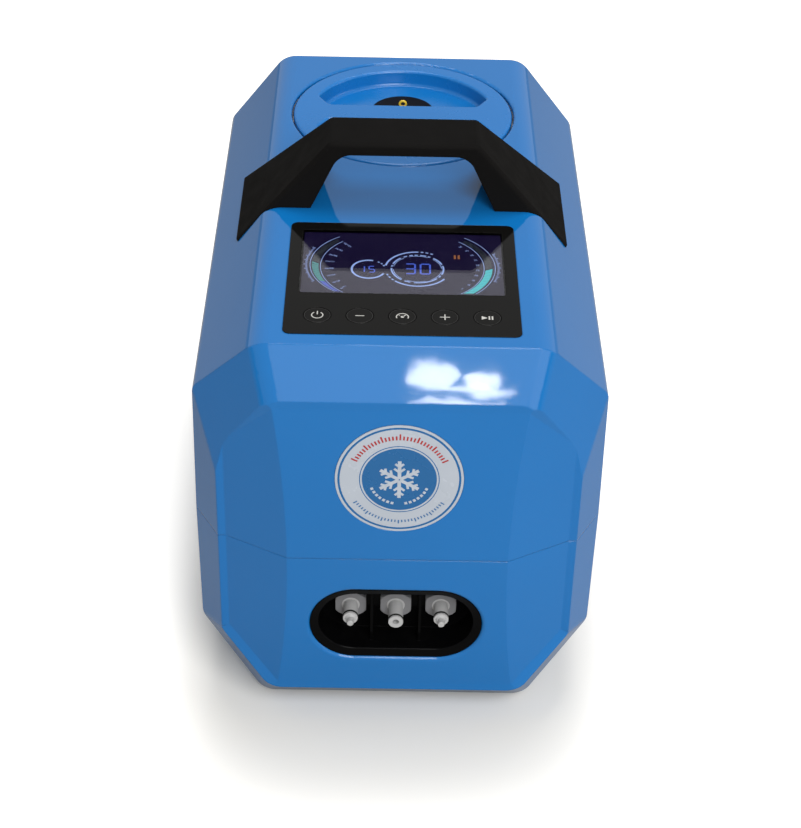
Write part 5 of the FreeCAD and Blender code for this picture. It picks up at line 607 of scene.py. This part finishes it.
for name, x in KEY_X.items():
    on_key = level(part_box("button_" + name)[1].z)
    icon = placed(ICONS[name], lambda px, py: (px + x, py + KEY_Y))
    ring = [arc(x, KEY_Y, RING_RADIUS, RING_STROKE, 0, FULL_TURN, 6)]
    flat_piece("icon_" + name, icon, icon_ink, "key_" + name, on_key, ICON_DEPTH, ICON_SINK)
    flat_piece("ring_" + name, ring, ring_highlight_ink, "key_" + name, on_key, ICON_DEPTH, ICON_SINK)

# ---------------------------------------------------------------- badge print
# The crowned panel is part of a cylinder: its radius, its foremost place and that place's height.
CROWN_RADIUS, CROWN_FRONT, SEAM = 1250.2, -172.4, 125.0
PRINT_SINK = 0.03


def on_badge(x, y):
    """A point of the crowned panel, x to the right and y up from the badge's centre."""
    z = BADGE_Z / MM + y - SEAM
    depth = CROWN_FRONT + CROWN_RADIUS - math.sqrt(CROWN_RADIUS**2 - z**2)
    out = Vector((0, depth - CROWN_FRONT - CROWN_RADIUS, z)).normalized()
    return Vector((x, depth, z + SEAM)) * MM, out


def print_piece(name, shapes, look, depth):
    flat_piece("badge_" + name, shapes, look, "housing", on_badge, depth, PRINT_SINK)


def badge_ticks(angles, inner, long, short, width):
    """Bars round the badge at angles in tenths of a degree, every fifth one long."""
    return [
        spoke(angle / 10, inner, short if i % 5 else long, width) for i, angle in enumerate(angles)
    ]


flake = []
for angle in range(90, 90 + FULL_TURN, 60):
    c, s = math.cos(math.radians(angle)), math.sin(math.radians(angle))
    flake.append(spoke(angle, 0.4, 11.6, 1.9))
    for reach, length in ((4.6, 3.6), (8.0, 2.9)):
        for side in (-50, 50):
            flake.append(spoke(angle + side, 0.3, length, 1.3, reach * c, reach * s))
dash_starts = [angle for angle in range(200, 341, 9) if abs(angle + 2.75 - 270) > 8]
flake += [arc(0, 0, 15.4, 1.5, angle, angle + 5.5, 2) for angle in dash_starts]
print_piece("motif", flake, ink("badge_paper", PAPER, 0.3), 0.08)
red = badge_ticks(range(270, 1531, 42), 24.6, 28.2, 27.0, 0.9)
print_piece("ticks_red", red, ink("badge_red", (0.36, 0.022, 0.022), 0.3), 0.06)
blue = badge_ticks(range(2130, 3271, 38), 26.0, 28.4, 27.6, 0.7)
print_piece("ticks_blue", blue, ink("badge_blue", (0.010, 0.110, 0.290), 0.3), 0.06)

# ---------------------------------------------------------------- stage
FLOOR_HALF = 6.0
FLOOR_SEEN, FLOOR_IN_GLOSS, FLOOR_BOUNCE = 0.86, 0.43, 0.45
# The floor's white is a little warm: a painted tint against the blue light the case bounces onto the
# floor.
FLOOR_WHITE = (1.0, 0.972, 0.91, 1.0)
WORLD_SEEN, WORLD_IN_GLOSS, WORLD_LIGHT = 1.0, 0.60, 0.42
# Painted light on the floor: emission seen by the camera only, nil inside an ellipse round the object
# and full beyond it, which outlines a painted shadow.
PAINTED_LIGHT_HALF_WIDTH, PAINTED_LIGHT_HALF_LENGTH = 0.096, 0.185
PAINTED_LIGHT_START, PAINTED_LIGHT_END, PAINTED_LIGHT_STRENGTH = 1.1, 2.5, 0.5


def by_ray(tree, seen, gloss, light):
    """One value for what the camera sees, also through glass, one for gloss and one for the light."""
    path = tree.nodes.new("ShaderNodeLightPath")
    rays = {"Is Glossy Ray": gloss, "Is Transmission Ray": seen, "Is Camera Ray": seen}
    value = None
    for name, strength in rays.items():
        mix = tree.nodes.new("ShaderNodeMix")
        mix.data_type = "FLOAT"
        factor, first, second = (s for s in mix.inputs if s.type == "VALUE")
        tree.links.new(path.outputs[name], factor)
        if value is None:
            first.default_value = light
        else:
            tree.links.new(value, first)
        second.default_value = strength
        value = next(s for s in mix.outputs if s.type == "VALUE")
    return value


def sweep_lift(tree):
    """Painted light on the floor as the camera sees it: none near the object, rising to full away from
    it, so the shade round the object gets a painted outline.
    """
    place = tree.nodes.new("ShaderNodeTexCoord").outputs["Object"]
    scaled = tree.nodes.new("ShaderNodeMapping")
    scaled.inputs["Scale"].default_value = (1 / PAINTED_LIGHT_HALF_WIDTH, 1 / PAINTED_LIGHT_HALF_LENGTH, 0)
    tree.links.new(place, scaled.inputs["Vector"])
    squared = tree.nodes.new("ShaderNodeVectorMath")
    squared.operation = "MULTIPLY"
    for socket in squared.inputs[:2]:
        tree.links.new(scaled.outputs["Vector"], socket)
    reach = tree.nodes.new("ShaderNodeVectorMath")
    reach.operation = "LENGTH"
    tree.links.new(squared.outputs["Vector"], reach.inputs[0])
    painted_light = tree.nodes.new("ShaderNodeMapRange")
    painted_light.interpolation_type = "SMOOTHSTEP"
    painted_light.inputs["From Min"].default_value = PAINTED_LIGHT_START
    painted_light.inputs["From Max"].default_value = PAINTED_LIGHT_END
    tree.links.new(reach.outputs["Value"], painted_light.inputs["Value"])
    tree.links.new(by_ray(tree, PAINTED_LIGHT_STRENGTH, 0.0, 0.0), painted_light.inputs["To Max"])
    return painted_light.outputs["Result"]


def make_floor():
    low, high = -FLOOR_HALF, FLOOR_HALF
    corners = [(low, low, 0), (high, low, 0), (high, high, 0), (low, high, 0)]
    data = bpy.data.meshes.new("floor")
    data.from_pydata(corners, [], [(0, 1, 2, 3)])
    floor = bpy.data.objects.new("floor", data)
    bpy.context.scene.collection.objects.link(floor)
    mat = bpy.data.materials.new("floor_pale")
    mat.use_nodes = True
    shader = mat.node_tree.nodes["Principled BSDF"]
    shader.inputs["Roughness"].default_value = 0.9
    shader.inputs["Specular IOR Level"].default_value = 0.0
    paint = mat.node_tree.nodes.new("ShaderNodeMix")
    paint.data_type = "RGBA"
    dark, pale = (s for s in paint.inputs if s.type == "RGBA")
    dark.default_value, pale.default_value = (0.0, 0.0, 0.0, 1.0), FLOOR_WHITE
    shade = by_ray(mat.node_tree, FLOOR_SEEN, FLOOR_IN_GLOSS, FLOOR_BOUNCE)
    mat.node_tree.links.new(shade, paint.inputs[0])
    painted = next(s for s in paint.outputs if s.type == "RGBA")
    mat.node_tree.links.new(painted, shader.inputs["Base Color"])
    shader.inputs["Emission Color"].default_value = (1.0, 1.0, 1.0, 1.0)
    # painted light on the floor, rising away from the object
    mat.node_tree.links.new(sweep_lift(mat.node_tree), shader.inputs["Emission Strength"])
    data.materials.append(mat)


def make_world():
    world = bpy.data.worlds.new("studio")
    bpy.context.scene.world = world
    world.use_nodes = True
    background = world.node_tree.nodes["Background"]
    background.inputs["Color"].default_value = (1.0, 1.0, 1.0, 1.0)
    strength = by_ray(world.node_tree, WORLD_SEEN, WORLD_IN_GLOSS, WORLD_LIGHT)
    world.node_tree.links.new(strength, background.inputs["Strength"])


def lamp(name, place, target, size, power):
    """A soft lamp: a disk of one size across, or an ellipse of a width and a height."""
    data = bpy.data.lights.new(name, "AREA")
    if isinstance(size, tuple):
        data.shape = "ELLIPSE"
        data.size, data.size_y = size
    else:
        data.shape = "DISK"
        data.size = size
    data.energy = power
    light = bpy.data.objects.new(name, data)
    bpy.context.scene.collection.objects.link(light)
    light.location = place
    aim = Vector(target) - Vector(place)
    light.rotation_euler = aim.to_track_quat("-Z", "Y").to_euler()


make_floor()
make_world()
MIDDLE = (0, 0, 0.15)
BEVEL = (0.02, -0.164, 0.2386)
lamp("front", (0.55, -1.75, 1.6), MIDDLE, 1.3, 40.0)
lamp("above", (0.1, 0.45, 2.2), MIDDLE, 1.2, 20.0)
lamp("right", (2.7, -0.3, 0.75), MIDDLE, 1.4, 9.0)
lamp("horizon", (0.45, -2.3, 0.84), BEVEL, (2.2, 0.45), 2.5)
lamp("corner", (1.55, -2.25, 0.48), BEVEL, (1.7, 0.6), 3.0)
lamp("glint_left", (0.072, -2.2, 0.810), BEVEL, (0.076, 0.048), 0.19)
lamp("glint_right", (0.146, -2.2, 0.804), BEVEL, (0.054, 0.026), 0.08)
lamp("glint_band", (0.142, -2.2, 0.788), BEVEL, (0.116, 0.010), 0.062)
lamp("glint_foot", (0.110, -2.2, 0.770), BEVEL, (0.152, 0.007), 0.06)

# ---------------------------------------------------------------- camera
LENS_PIXELS, LONG_SIDE, SENSOR = 1987.09, 828.0, 36.0
CAMERA_PLACE = (-0.01034, -0.9857, 0.81145)
YAW, PITCH, ROLL = (math.radians(angle) for angle in (0.71, 35.95, 1.43))
optics = bpy.data.cameras.new("camera")
optics.lens = LENS_PIXELS / LONG_SIDE * SENSOR
optics.sensor_width = SENSOR
optics.clip_start, optics.clip_end = 0.05, 50.0
camera = bpy.data.objects.new("camera", optics)
bpy.context.scene.collection.objects.link(camera)
ahead = math.cos(PITCH)
forward = Vector((math.sin(YAW) * ahead, math.cos(YAW) * ahead, -math.sin(PITCH)))
across = Vector((math.cos(YAW), -math.sin(YAW), 0.0))
upright = across.cross(forward)
side = across * math.cos(ROLL) + upright * math.sin(ROLL)
rise = upright * math.cos(ROLL) - across * math.sin(ROLL)
turn = Matrix((side, rise, -forward)).transposed()
camera.matrix_world = Matrix.Translation(CAMERA_PLACE) @ turn.to_4x4()
bpy.context.scene.camera = camera
bpy.context.scene.view_settings.view_transform = "Standard"
